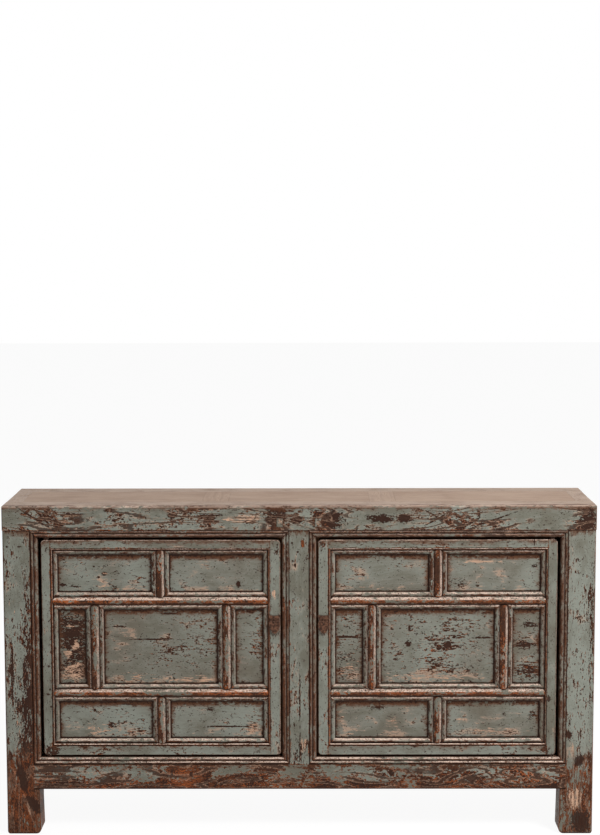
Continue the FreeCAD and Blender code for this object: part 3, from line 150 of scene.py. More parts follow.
CENTRE_POST_MARKS = (
    Mark(9, 727, 4, 14, 2.2, Harm.BARE),
    Mark(-17, 729, 3, 3, 2.0, Harm.SOILED),
    Mark(-3, 707, 3, 3, 2.0, Harm.SOILED),
    Mark(-15, 684, 2.5, 3, 2.0, Harm.SOILED),
    Mark(1, 315, 2, 125, 2.0),
    Mark(4, 214, 20, 40, 1.3),
    Mark(10, 225, 7, 26, 1.0, Harm.RUBBED),
    Mark(-38, 460, 5, 260, 0.8),
    Mark(0, 460, 30, 320, 0.4, Harm.RUBBED),
)
LOWER_RAIL_MARKS = (
    Mark(-480, 152, 170, 17, 1.5, Harm.KEPT, tilt=1.5),
    Mark(150, 150, 100, 18, 1.3, Harm.KEPT, tilt=4),
    Mark(330, 156, 70, 12, 1.6, Harm.KEPT, tilt=12),
    Mark(480, 152, 90, 14, 1.6, Harm.KEPT, tilt=14),
    Mark(610, 160, 34, 12, 1.7, Harm.KEPT, tilt=35),
    Mark(-290, 142, 52, 26, 0.45, Harm.BARE),
    Mark(-268, 151, 5, 8, 2.0, Harm.SOILED),
    Mark(227, 154, 7, 9, 2.0, Harm.SOILED),
)
LEFT_DOOR_MARKS = (
    Mark(-616, 422, 3, 3, 2.0, Harm.SOILED),
    Mark(-614, 364, 3, 3, 2.0, Harm.SOILED),
    Mark(-611, 321, 3, 3, 2.0, Harm.SOILED),
    Mark(-611, 210, 22, 15, 1.9),
    Mark(-614, 722, 16, 16, 1.0),
    Mark(-54, 716, 9, 20, 1.7),
    Mark(-62, 602, 5, 12, 1.5, Harm.RUBBED),
)
RIGHT_DOOR_MARKS = (
    Mark(614, 340, 5, 8, 2.0, Harm.SOILED),
    Mark(574, 729, 2, 9, 2.0, Harm.SOILED),
    Mark(611, 210, 16, 14, 1.5),
    Mark(56, 716, 9, 18, 1.3),
)
LEFT_CORNER_PANEL_MARKS = (
    Mark(-486, 643, 24, 30, 0.8, Harm.RUBBED),
    Mark(-503, 669, 4, 4),
    Mark(-477, 651, 7, 6, 2.8),
    Mark(-492, 642, 5, 3),
    Mark(-454, 614, 8, 4),
    Mark(-581, 623, 9, 5, 2.8),
    Mark(-550, 619, 14, 3, 2.8),
    Mark(-148, 625, 6, 9, 3.2),
    Mark(-480, 256, 100, 24, 0.8, Harm.RUBBED),
    Mark(-506, 308, 4, 4),
    Mark(-523, 280, 5, 4),
    Mark(-464, 270, 14, 8, 1.5),
    Mark(-402, 323, 34, 2, 2.8),
    Mark(-182, 267, 62, 2, 2.6),
    Mark(-112, 262, 22, 20, 0.7),
    Mark(-112, 262, 22, 20, 0.8, Harm.RUBBED),
    Mark(-218, 311, 12, 6, 2.2),
    Mark(-480, 612, 110, 10, 0.8, Harm.RUBBED),
    Mark(-190, 612, 110, 10, 0.7, Harm.RUBBED),
    Mark(-180, 250, 120, 12, 0.6, Harm.RUBBED),
)
RIGHT_CORNER_PANEL_MARKS = (
    Mark(442, 680, 54, 5, 1.3, Harm.RUBBED),
    Mark(388, 628, 32, 18, 1.2),
    Mark(437, 620, 5, 4, 2.8),
    Mark(577, 669, 8, 5, 2.2),
    Mark(170, 616, 90, 7, 1.0),
    Mark(190, 315, 26, 8, 2.2),
    Mark(106, 285, 18, 36, 0.7, Harm.RUBBED),
    Mark(228, 279, 18, 18, 0.8, Harm.RUBBED),
    Mark(399, 281, 18, 9, 1.1, Harm.RUBBED),
    Mark(470, 252, 115, 10, 1.1),
    Mark(506, 297, 5, 5),
    Mark(577, 285, 14, 28, 1.5),
    Mark(180, 612, 110, 9, 0.8, Harm.RUBBED),
    Mark(470, 612, 110, 9, 0.7, Harm.RUBBED),
    Mark(170, 250, 110, 12, 0.6, Harm.RUBBED),
    Mark(470, 254, 115, 12, 0.8, Harm.RUBBED),
)
LEFT_FIELD_MARKS = (
    Mark(-319, 551, 24, 2.5, 2.8),
    Mark(-443, 519, 18, 2, 2.8),
    Mark(-366, 487, 56, 2, 2.8),
    Mark(-290, 450, 110, 55, 0.5),
    Mark(-310, 376, 150, 14, 0.45, Harm.RUBBED),
    Mark(-400, 392, 80, 18, 0.8, Harm.RUBBED),
    Mark(-400, 392, 80, 18, 0.6),
    Mark(-260, 385, 60, 14, 0.9, Harm.RUBBED),
    Mark(-552, 500, 46, 105, 1.7),
    Mark(-548, 548, 30, 7, 1.2, Harm.RUBBED),
    Mark(-556, 520, 20, 5, 1.2, Harm.RUBBED),
    Mark(-551, 472, 8, 16, 2.2, Harm.RUBBED),
    Mark(-570, 452, 12, 9, 1.5, Harm.RUBBED),
    Mark(-556, 404, 34, 26, 1.5, Harm.RUBBED),
    Mark(-556, 404, 34, 26, 0.8),
)
RIGHT_FIELD_MARKS = (
    Mark(268, 475, 9, 8, 2.8),
    Mark(366, 471, 7, 8, 2.8),
    Mark(381, 492, 4, 4, 2.8),
    Mark(271, 514, 3, 7, 2.8),
    Mark(451, 490, 24, 2.5, 1.8),
    Mark(350, 490, 90, 30, 0.25),
    Mark(406, 404, 70, 20, 0.6),
    Mark(330, 392, 150, 20, 1.0, Harm.RUBBED),
    Mark(118, 492, 34, 3, 2.4),
    Mark(118, 415, 34, 48, 0.9),
    Mark(118, 410, 30, 30, 0.9, Harm.RUBBED),
    Mark(568, 522, 20, 8, 1.9),
    Mark(556, 470, 30, 13, 1.4),
    Mark(560, 400, 34, 24, 0.9),
)

# Height of the top, depth of the front and depth of the low reeds below a flat face, in millimetres.
TOP = 822.0
FRONT = -150.0
LOW_REED = 3.6

# Where the rim of a placed mark begins and ends, as a share of its size, how much it frays, and how far
# the mark reaches into the cabinet, in millimetres.
MARK_RIM = (1.2, 0.6)
MARK_FRAY = 0.25
MARK_REACH = 1e6

SHELTER_SAMPLES = 8
MATT = {"Specular IOR Level": 0.12}


class Wire:
    """A number that runs through a shader, written like a number in Python."""

    def __init__(self, bench: "Bench", socket: bpy.types.NodeSocket) -> None:
        """Keep the socket and the bench that it belongs to.

        Args:
            bench: The bench whose shader holds the socket.
            socket: The output socket that gives the number.
        """
        self.bench = bench
        self.socket = socket

    def __add__(self, other: "Wire | float") -> "Wire":
        """Sum."""
        return self.bench.maths("ADD", self, other)

    __radd__ = __add__

    def __sub__(self, other: "Wire | float") -> "Wire":
        """Difference."""
        return self.bench.maths("SUBTRACT", self, other)

    def __rsub__(self, other: float) -> "Wire":
        """Difference from a plain number."""
        return self.bench.maths("SUBTRACT", other, self)

    def __mul__(self, other: "Wire | float") -> "Wire":
        """Product."""
        return self.bench.maths("MULTIPLY", self, other)

    __rmul__ = __mul__

    def at_least(self, other: "Wire | float") -> "Wire":
        """The larger of the two."""
        return self.bench.maths("MAXIMUM", self, other)

    def rise(self, low: float, high: float) -> "Wire":
        """Go smoothly from 0 to 1 as the number goes from low to high.

        Args:
            low: Where the result leaves 0.
            high: Where it reaches 1. It may lie below low, for a fall.

        Returns:
            The smooth step.
        """
        if high < low:
            return 1 - self.rise(high, low)
        settings = {"interpolation_type": "SMOOTHSTEP", "clamp": True}
        sockets = {"Value": self, "From Min": low, "From Max": high}
        return self.bench.number("ShaderNodeMapRange", settings, sockets, "Result")


class Bench:
    """Where one shader is put together, node by node."""

    def __init__(self, owner: bpy.types.Material | bpy.types.World) -> None:
        """Clear the shader of a material or of the world.

        Args:
            owner: What the shader is for.
        """
        self.owner = owner
        owner.use_nodes = True
        self.tree = owner.node_tree
        self.tree.nodes.clear()

    def node(
        self,
        kind: str,
        settings: dict[str, object] | None = None,
        sockets: dict[str | int, object] | None = None,
    ) -> bpy.types.Node:
        """Add a node, set it up, and then fill or link its sockets.

        Args:
            kind: The node's type.
            settings: Its properties, set first.
            sockets: Values, wires or sockets for its inputs, by name or number.

        Returns:
            The node.
        """
        made = self.tree.nodes.new(kind)
        for name, value in (settings or {}).items():
            setattr(made, name, value)
        for name, value in (sockets or {}).items():
            source = value.socket if isinstance(value, Wire) else value
            if isinstance(source, bpy.types.NodeSocket):
                self.tree.links.new(source, made.inputs[name])
            else:
                made.inputs[name].default_value = source
        return made

    def number(
        self,
        kind: str,
        settings: dict[str, object],
        sockets: dict[str | int, object],
        output: str | int = 0,
    ) -> Wire:
        """Add a node and return one of its outputs as a number.

        Args:
            kind: The node's type.
            settings: Its properties.
            sockets: Its inputs.
            output: The output's name or number.

        Returns:
            The output.
        """
        return Wire(self, self.node(kind, settings, sockets).outputs[output])

    def maths(self, operation: str, first: Wire | float, second: Wire | float = 0.0) -> Wire:
        """Add a Math node.

        Args:
            operation: Its operation.
            first: First number.
            second: Second number.

        Returns:
            The result.
        """
        return self.number("ShaderNodeMath", {"operation": operation}, {0: first, 1: second})

    def vector(
        self,
        operation: str,
        first: bpy.types.NodeSocket,
        second: tuple[float, float, float],
    ) -> bpy.types.NodeSocket:
        """Add a Vector Math node.

        Args:
            operation: Its operation.
            first: First vector.
            second: Second vector.

        Returns:
            The resulting vector.
        """
        return self.node("ShaderNodeVectorMath", {"operation": operation}, {0: first, 1: second}).outputs[0]

    def place(self) -> bpy.types.NodeSocket:
        """The point on the piece at rest, in millimetres."""
        point = self.node("ShaderNodeTexCoord").outputs["Object"]
        return self.vector("MULTIPLY", point, (PER_METRE, PER_METRE, PER_METRE))

    def facing(self) -> tuple[Wire, Wire, Wire]:
        """Which way the surface of the piece faces at rest, as x, y and z."""
        return self.parts(self.node("ShaderNodeTexCoord").outputs["Normal"])

    def parts(self, vector: bpy.types.NodeSocket) -> tuple[Wire, Wire, Wire]:
        """Split a vector.

        Args:
            vector: The vector.

        Returns:
            Its x, y and z.
        """
        split = self.node("ShaderNodeSeparateXYZ", None, {0: vector})
        return tuple(Wire(self, output) for output in split.outputs)

    def shifted(
        self,
        place: bpy.types.NodeSocket,
        seed: float,
        spread: tuple[float, float, float] = (1.0, 0.37, 0.71),
    ) -> bpy.types.NodeSocket:
        """Move a piece through the noise, so that no two pieces wear alike.

        Args:
            place: The point on the piece.
            seed: How far it moves.
            spread: Share of that along x, y and z.

        Returns:
            The moved point.
        """
        return self.vector("ADD", place, tuple(seed * share for share in spread))

    def noise(
        self,
        vector: bpy.types.NodeSocket,
        size: float,
        detail: float = 4.0,
        roughness: float = 0.55,
        distortion: float = 0.0,
    ) -> Wire:
        """Cloudy noise about zero, with a spread of about 1.

        Args:
            vector: Where on the piece, in millimetres.
            size: Size of a cloud, in millimetres.
            detail: How many finer layers it has.
            roughness: How strong they are.
            distortion: How much it is stirred.

        Returns:
            The noise.
        """
        sockets = {
            "Vector": vector,
            "Scale": 1 / size,
            "Detail": detail,
            "Roughness": roughness,
            "Distortion": distortion,
        }
        raw = self.number("ShaderNodeTexNoise", {"noise_dimensions": "3D"}, sockets)
        steepness = 11.0 + 0.8 * detail
        return (raw - 0.5) * steepness

    def mix(
        self,
        low: bpy.types.NodeSocket | Colour,
        high: bpy.types.NodeSocket | Colour,
        share: Wire | float,
    ) -> bpy.types.NodeSocket:
        """Lay one colour over another.

        Args:
            low: The colour below.
            high: The colour above.
            share: How much of the upper one covers.

        Returns:
            The mixed colour.
        """
        settings = {"data_type": "RGBA", "clamp_factor": True}
        return self.node("ShaderNodeMix", settings, {0: share, 6: low, 7: high}).outputs[2]

    def shelter(self, distance: float, inside: bool = False, lean: float = 0.0) -> Wire:
        """How hidden a point is: 0 in the open and towards 1 in a corner.

        Args:
            distance: How far away a surface still hides it, in millimetres.
            inside: Look into the wood instead, which finds thin edges.
            lean: How far the look leans upwards.

        Returns:
            The share that is hidden.
        """
        settings = {"inside": inside, "samples": SHELTER_SAMPLES, "only_local": inside}
        sockets = {"Distance": distance / PER_METRE}
        if lean:
            square = self.node("ShaderNodeNewGeometry").outputs["Normal"]
            sockets["Normal"] = self.vector("ADD", square, (0.0, 0.0, lean))
        return 1 - self.number("ShaderNodeAmbientOcclusion", settings, sockets, "AO")

    def seen_white(self) -> Wire:
        """1 for rays that come from the camera, a reflection or a clear piece."""
        path = self.node("ShaderNodeLightPath")
        kinds = ("Is Camera Ray", "Is Glossy Ray", "Is Transmission Ray")
        camera, glossy, clear = (Wire(self, path.outputs[kind]) for kind in kinds)
        return camera.at_least(glossy).at_least(clear)

    def coated(
        self,
        colour: bpy.types.NodeSocket,
        roughness: Wire | float,
        height: Wire,
        relief: float,
        constants: dict[str, object],
    ) -> bpy.types.Material:
        """Finish the material with one Principled shader.

        Args:
            colour: The colour.
            roughness: The roughness.
            height: The relief of the surface, in its own steps.
            relief: What one step is, in millimetres.
            constants: Values that are the same all over.

        Returns:
            The material.
        """
        bump = self.node("ShaderNodeBump", None, {"Height": height, "Distance": relief / PER_METRE})
        sockets = {"Base Color": colour, "Roughness": roughness, "Normal": bump.outputs[0], **constants}
        shader = self.node("ShaderNodeBsdfPrincipled", None, sockets)
        self.node("ShaderNodeOutputMaterial", None, {"Surface": shader.outputs[0]})
        return self.owner


@dataclass(frozen=True)
class WornPaint:
    """Grey-blue paint on a pale pink ground, flaked and rubbed off red-brown wood.

    face is the depth of the member's flat face, in millimetres. What lies deeper is its moulding: first
    the beads and then, from LOW_REED on, the low reeds. The face of a member without any moulding lies
    behind everything. wear, bead_wear, reed_wear and edge_wear say how much each of these has lost, in
    steps of the noise, of which patches is the broad part and streaks the part along the grain.
    corner_dirt_and_shade, reed_dirt_and_shade and soot_and_shade are shares of soiling with painted shade
    in corners, creases and under things, of soiling on mouldings with painted shade on their sides turned
    from the light, and of a sooty tone all over, heavier in corners as painted shade. crest_highlight is
    how bright the painted highlights on the crests are. Growth lines open below crack_top, by the share in
    cracks. Below bare_below the paint is gone. The wood is lighter with more warmth, and black from the
    wear in char on. unseen is the way, as x and y, that the side of the member faces which never had any
    paint.

    The sizes of the noises, the reaches of the looks for edges and corners, and the thickness of the
    paint are in millimetres. The stretches say how far a noise is drawn out along the grain. flaked and
    stripped are the steps of wear between which the paint comes off its ground, and the ground off the
    wood.
    """

    grain: Grain
    face: float = 1000.0
    wear: float = 0.0
    bead_wear: float = 1.0
    reed_wear: float = 1.0
    edge_wear: float = 1.0
    patches: float = 0.6
    streaks: float = 0.25
    # Share of grimy soiling and painted shade in corners and creases.
    corner_dirt_and_shade: float = 1.0
    # Share of grimy soiling on mouldings, with painted shade on their sides turned from the light.
    reed_dirt_and_shade: float = 0.3
    # Share of sooty darkening all over, heavier in corners as painted shade.
    soot_and_shade: float = 0.0
    # How bright the painted highlights on the crests are.
    crest_highlight: float = 1.0
    cracks: float = 0.0
    crack_top: float = 1000.0
    bare_below: float = -1000.0
    warmth: float = 0.0
    char: float = 1.6
    bare_top: bool = False
    unseen: tuple[float, float] = (0.0, 1.0)
    marks: tuple[Mark, ...] = ()
    cloud_size: float = 150.0
    blotch_size: float = 36.0
    flake_size: float = 6.0
    streak_size: float = 3.2
    fleck_size: float = 2.6
    figure_size: float = 2.6
    growth_size: float = 75.0
    stretch: float = 0.55
    long_stretch: float = 0.12
    growth_stretch: float = 0.16
    edge_reach: float = 4.0
    corner_reach: float = 17.0
    quirk_reach: float = 5.0
    thickness: float = 0.4
    flaked: tuple[float, float] = (1.25, 1.32)
    stripped: tuple[float, float] = (1.36, 1.44)
    paint: Colour = paint_chip(135, 138, 128)
    paint_dull: Colour = paint_chip(106, 103, 91)
    ground: Colour = paint_chip(196, 158, 132)
    # Pale colour of the painted highlights on crests and on the worn top arris.
    painted_highlight: Colour = paint_chip(226, 200, 182)
    wood_light: Colour = paint_chip(166, 88, 45)
    wood_deep: Colour = paint_chip(102, 56, 32)
    # Grimy brown, for soiling and for painted shade in corners and on mouldings.
    grime_and_shade: Colour = paint_chip(90, 57, 38)
    # Near-black, for burnt wood and soiling, and for painted shade in creases and on mouldings turned from
    # the light.
    soil_and_shade: Colour = paint_chip(50, 30, 21)
    dry_wood: Colour = paint_chip(182, 156, 136)
    raw_light: Colour = paint_chip(150, 110, 78)
    raw_deep: Colour = paint_chip(112, 76, 52)

    def make(self, name: str, seed: float) -> bpy.types.Material:
        """Put the paint together for one node.

        Args:
            name: The material's name.
            seed: Where in the noise this node's wear lies.

        Returns:
            The material.
        """
        return PaintJob(self, Bench(bpy.data.materials.new(name)), seed).do()


class PaintJob:
    """The worn paint of one piece, put together from the first coat to the last dirt.

    depth and height are a point's y and z on the piece at rest, and right, forward and up how far it
    faces that way. The noises go from clouds a hand wide down to flecks, and streak and figure are drawn
    out along the grain. corner and quirk find wide and narrow corners, corner looking from above.
    soiled, rubbed and bare are the sums of the placed marks. moulded and reed are 1 on all mouldings and
    on the low reeds, and lit is how much light these catch. low is the wear near the floor, and wear all
    the rest of it, which on mouldings is heavier on their sides turned from the light, as painted shade.
    stripped, blackened and crevice are the shares of bare wood, of black wood and of painted shade in
    narrow corners.
    """

    def __init__(self, finish: WornPaint, bench: Bench, seed: float) -> None:
        """Measure the piece and judge what it has lost.

        Args:
            finish: The finish that the piece gets.
            bench: The bench of its material.
            seed: Where in the noise its wear lies.
        """
        self.finish = finish
        self.bench = bench
        self.colour: bpy.types.NodeSocket | Colour = finish.paint
        place = bench.place()
        _, self.depth, self.height = bench.parts(place)
        self.right, self.forward, self.up = bench.facing()
        self.moved = bench.shifted(place, seed)
        along = bench.vector("MULTIPLY", self.moved, finish.grain.stretch(finish.stretch))
        drawn = bench.vector("MULTIPLY", self.moved, finish.grain.stretch(finish.long_stretch))
        self.cloud = bench.noise(self.moved, finish.cloud_size, 2)
        self.blotch = bench.noise(along, finish.blotch_size, 4, 0.6, 0.6)
        self.flake = bench.noise(along, finish.flake_size, 4, 0.7, 0.4)
        self.fleck = bench.noise(along, finish.fleck_size, 2, 0.6)
        self.streak = bench.noise(drawn, finish.streak_size, 4, 0.65, 0.6)
        self.figure = bench.noise(drawn, finish.figure_size, 4, 0.6, 0.5)
        # Looks from above, for the painted shade under things and in corners.
        self.corner = bench.shelter(finish.corner_reach, lean=1.0)
        self.quirk = bench.shelter(finish.quirk_reach)
        edge = bench.shelter(finish.edge_reach, inside=True).rise(0.1, 0.42)

        sums = self.sum_marks(place)
        self.soiled, self.rubbed, self.bare = sums[Harm.SOILED], sums[Harm.RUBBED], sums[Harm.BARE]
        worn = sums[Harm.WORN] - sums[Harm.KEPT]
        sunk = self.depth - finish.face
        self.moulded = sunk.rise(0.1, 0.8) * self.forward.rise(-0.05, -0.2)
        self.reed = self.moulded * sunk.rise(LOW_REED, LOW_REED + 0.6)
        self.lit = self.up * 0.9 + self.right * 0.75
        # Mouldings keep more paint where they face the light and lose more where they turn away: wear and
        # painted shade.
        profile = self.moulded * (finish.bead_wear - self.lit * 0.7)
        profile = profile + self.reed * (finish.reed_wear - finish.bead_wear)
        wear = self.blotch * finish.patches + self.streak * finish.streaks
        wear = wear + self.flake * 0.55 + self.cloud * 0.35 + self.fleck * 0.15
        self.wear = wear + finish.wear + worn + profile + edge * (1.5 * finish.edge_wear)
        self.low = self.height.rise(finish.bare_below + 60, finish.bare_below - 60) * 1.8
        self.stripped = (self.wear + self.low + self.bare * 2).rise(*finish.stripped)
        black = self.wear - profile - edge * 1.5 + worn * 0.4 + self.fleck * 0.4
        black = black + self.low * 0.4 - self.bare * 2
        self.blackened = black.rise(finish.char, finish.char + 0.18)
        # Painted shade in narrow creases and quirks.
        self.crevice = (self.quirk + self.flake * 0.03).rise(0.08, 0.22) * finish.corner_dirt_and_shade

    def sum_marks(self, place: bpy.types.NodeSocket) -> dict[Harm, Wire | float]:
        """Add up the placed marks, with frayed rims.

        Args:
            place: The point on the piece, in millimetres.

        Returns:
            The sum for each kind of harm.
        """
        sums: dict[Harm, Wire | float] = {harm: 0.0 for harm in Harm}
        for mark in self.finish.marks:
            sockets = {
                "Vector": place,
                "Location": (mark.x, 0.0, mark.z),
                "Rotation": (0.0, math.radians(mark.tilt), 0.0),
                "Scale": (mark.half_width, MARK_REACH, mark.half_height),
            }
            local = self.bench.node("ShaderNodeMapping", {"vector_type": "TEXTURE"}, sockets).outputs[0]
            reach = self.bench.number("ShaderNodeVectorMath", {"operation": "LENGTH"}, {0: local}, "Value")
            share = (reach + self.flake * MARK_FRAY).rise(*MARK_RIM)
            sums[mark.harm] = share * mark.depth + sums[mark.harm]
        return sums

    def cover(self, upper: bpy.types.NodeSocket | Colour, share: Wire) -> None:
        """Lay a colour over what is there.

        Args:
            upper: The colour.
            share: How much of it covers.
        """
        self.colour = self.bench.mix(self.colour, upper, share)

    def do(self) -> bpy.types.Material:
        """Do the whole job and return the material."""
        self.lay_paint()
        self.show_wood()
        self.gather_dirt_and_shade()
        if self.finish.cracks > 0:
            self.open_cracks()
        # Painted shade: dark lines in the creases and quirks.
        self.cover(self.finish.soil_and_shade, self.crevice * 0.97)
        # Painted highlights on the crests.
        self.paint_crest_highlights()
        self.spot()
        if self.finish.bare_top:
            self.dry_top()
        self.leave_raw()
        relief = self.streak * 0.1 + self.figure * self.stripped * 0.2
        relief = relief - self.stripped - self.blackened * 0.6
        roughness = 0.45 + self.streak * 0.03 + self.stripped * 0.08
        return self.bench.coated(self.colour, roughness, relief, self.finish.thickness, MATT)

    def lay_paint(self) -> None:
        """Paint with its sooty tone, heavier in corners as painted shade, and its thin places, down to its
        ground where it has flaked.
        """
        finish = self.finish
        hue = self.cloud * 0.4 + self.blotch * 0.35 + self.streak * 0.12 + self.flake * 0.1
        self.colour = self.bench.mix(finish.paint_dull, finish.paint, hue.rise(-1.5, 0.9))
        # Sooty darkening all over, heavier in corners: soiling and painted shade.
        soot_and_corner_shade = (self.blotch * 0.3 - self.cloud * 0.3 + self.corner * 2).rise(-1.0, 1.2)
        self.cover(finish.grime_and_shade, soot_and_corner_shade * finish.soot_and_shade)
        thin = self.streak * 0.3 + self.blotch * 0.6 + self.flake * 0.2 + self.rubbed * 1.2
        self.cover(finish.ground, thin.rise(0.7, 1.9) * 0.5)
        self.cover(finish.ground, (self.wear + self.low).rise(*finish.flaked) * 0.8)

    def show_wood(self) -> None:
        """Wood where the paint is gone, its black patches, and what is left of the ground."""
        finish = self.finish
        warm = self.figure * 0.4 + self.cloud * 0.3 + self.flake * 0.4 + finish.warmth + self.bare * 0.2
        wood = self.bench.mix(finish.wood_deep, finish.wood_light, warm.rise(-0.5, 1.5))
        burnt = self.figure * 0.6 + self.fleck * 0.4 + self.blotch * 0.4
        burnt = burnt - self.bare * 0.4 - finish.warmth * 0.4
        wood = self.bench.mix(wood, finish.soil_and_shade, burnt.rise(0.0, 0.6) * 0.9)
        self.cover(wood, self.stripped)
        self.cover(finish.soil_and_shade, self.blackened)
        left = self.rubbed * 1.5 + self.streak * 0.5 + self.flake * 0.4
        self.cover(finish.ground, left.rise(1.8, 2.1))

    def gather_dirt_and_shade(self) -> None:
        """Painted shade with grimy soiling near corners and under things, the same on mouldings turned from
        the light, and painted shade on what faces down or to the left.
        """
        ragged = 1 + self.blotch * 0.35 + self.flake * 0.35
        # Grimy soiling and painted shade near corners, found by looking from above so that it is darkest
        # under things.
        near = (self.corner * ragged).rise(0.05, 0.3) * self.finish.corner_dirt_and_shade
        self.cover(self.finish.grime_and_shade, near * 0.9)
        # Grimy soiling on mouldings, heavier on their sides turned from the light: soiling and painted
        # shade.
        caked_and_shaded = (self.blotch * 0.3 + self.flake * 0.3 - self.lit * 0.6).rise(-1.2, 0.6)
        self.cover(self.finish.grime_and_shade, self.moulded * caked_and_shaded * self.finish.reed_dirt_and_shade)
        shade = (self.flake * 0.15 - self.up * 0.9 - self.right * 0.4).rise(0.0, 0.5)
        self.cover(self.finish.soil_and_shade, self.moulded * shade * 0.8)

    def open_cracks(self) -> None:
        """Dark growth lines with pale rims, where the paint has split."""
        finish = self.finish
        swirl = self.bench.vector("MULTIPLY", self.moved, finish.grain.stretch(finish.growth_stretch))
        growth = self.bench.noise(swirl, finish.growth_size, 2, 0.45, 0.4)
        rings = self.bench.maths("SINE", growth * 9 + self.flake * 0.35)
        within = self.height.rise(finish.crack_top + 50, finish.crack_top - 30) * finish.cracks
        within = within * (self.cloud * 0.7 + self.blotch * 0.5 + 0.6).rise(-0.4, 0.6)
        rim = rings.rise(-0.1, 0.3) * (self.flake + 1).rise(0, 1) * within
        self.cover(finish.ground, rim * 0.45)
        self.cover(finish.soil_and_shade, rings.rise(0.45, 0.75) * within * 0.85)

    def paint_crest_highlights(self) -> None:
        """Painted highlights: broken bright lines where mouldings face up or to the right, towards the key
        lamp.
        """
        # Painted highlight on the sides of mouldings that face the key lamp, kept out of the quirks.
        highlight_band = self.up.rise(0.05, 0.25) * self.up.rise(0.95, 0.75) + self.right.rise(0.2, 0.5) * 0.4
        highlight_band = highlight_band * self.moulded * (1 - self.reed * 0.35) * self.quirk.rise(0.6, 0.35)
        broken = self.fleck * 0.4 + self.streak * 0.3 + self.flake * 0.4 + self.blotch * 0.2
        self.cover(self.finish.painted_highlight, highlight_band * broken.rise(-0.8, 0.5) * self.finish.crest_highlight)

    def spot(self) -> None:
        """Dark speckles, crowding into corners where they add painted shade, and the placed marks of
        soiling.
        """
        # Dark speckles, thicker near corners, which also lays painted shade there.
        specks_and_corner_shade = (self.fleck * 0.8 + self.flake * 0.6 + self.corner * 2).rise(1.6, 1.8)
        self.cover(self.finish.soil_and_shade, specks_and_corner_shade * 0.9)
        self.cover(self.finish.soil_and_shade, (self.soiled + self.flake * 0.4).rise(0.7, 1.1) * 0.92)

    def dry_top(self) -> None:
        """Dry bare wood on the top, its worn arris lightened as a painted highlight, and the dark soiling
        behind and below that.
        """
        finish = self.finish
        grain = (self.figure * 0.4 + self.blotch * 0.3).rise(-1.5, 1.8)
        dry = self.bench.mix(finish.dry_wood, finish.grime_and_shade, grain * 0.35)
        self.cover(dry, self.up.rise(0.75, 0.95) * self.height.rise(TOP - 22, TOP - 7))
        # Worn arris facing up and forward, lightened: wear and a painted highlight.
        arris = self.up.rise(0.95, 0.85) * self.height.rise(TOP - 6.5, TOP - 4.5)
        self.cover(finish.painted_highlight, arris * (self.streak + self.flake).rise(-1.4, 0.2) * 0.75)
        behind = self.depth.rise(FRONT + 16, FRONT + 12) * self.depth.rise(FRONT + 2.5, FRONT + 3.5)
        below = self.forward.rise(-0.6, -0.8) * self.height.rise(TOP - 10, TOP - 7)
        dirty = self.up.rise(0.85, 0.95) * behind + below * 0.7
        broken = (self.streak * 0.5 + self.flake * 0.5 + self.blotch * 0.5).rise(-1.2, 0.3)
        self.cover(finish.grime_and_shade, dirty * broken * 0.9)

    def leave_raw(self) -> None:
        """Wood that never had any paint, on the side that is out of sight."""
        finish = self.finish
        tone = (self.figure * 0.5 + self.cloud * 0.3).rise(-1.6, 1.2)
        raw = self.bench.mix(finish.raw_deep, finish.raw_light, tone)
        # Painted shade in the creases of the raw wood.
        raw = self.bench.mix(raw, finish.soil_and_shade, self.crevice * 0.5)
        turned = self.right * finish.unseen[0] + self.forward * finish.unseen[1]
        self.cover(raw, turned.rise(0.4, 0.7))


@dataclass(frozen=True)
class BareWood:
    """Dry bare wood with its pores and growth lines, and painted shade in its corners. Sizes and relief are
    in millimetres.
    """

    grain: Grain
    light: Colour = paint_chip(182, 156, 136)
    dark: Colour = paint_chip(156, 128, 108)
    # Colour of the pores, also used for painted shade in corners.
    pore_and_shade: Colour = paint_chip(108, 76, 58)
    roughness: float = 0.55
    relief: float = 0.2
    figure_size: float = 9.0
    pore_size: float = 1.4
    cloud_size: float = 120.0
    stretch: float = 0.05
    corner_reach: float = 5.0

    def make(self, name: str, seed: float) -> bpy.types.Material:
        """Put the wood together for one node.

        Args:
            name: The material's name.
            seed: Where in the noise this node's figure lies.

        Returns:
            The material.
        """
        bench = Bench(bpy.data.materials.new(name))
        moved = bench.shifted(bench.place(), seed)
        drawn = bench.vector("MULTIPLY", moved, self.grain.stretch(self.stretch))
        figure = bench.noise(drawn, self.figure_size, 5, 0.6, 0.6)
        pores = bench.noise(drawn, self.pore_size, 3, 0.6)
        cloud = bench.noise(moved, self.cloud_size, 3)
        corner = bench.shelter(self.corner_reach)
        colour = bench.mix(self.dark, self.light, (figure * 0.4 + cloud * 0.3).rise(-1.6, 1.0))
        colour = bench.mix(colour, self.pore_and_shade, (pores * 0.7 + figure * 0.3).rise(0.6, 2.0) * 0.5)
        # Painted shade: the pore colour in corners.
        colour = bench.mix(colour, self.pore_and_shade, corner.rise(0.15, 0.6) * 0.7)
        height = pores * 0.15 + figure * 0.15
        return bench.coated(colour, self.roughness + figure * 0.02, height, self.relief, MATT)


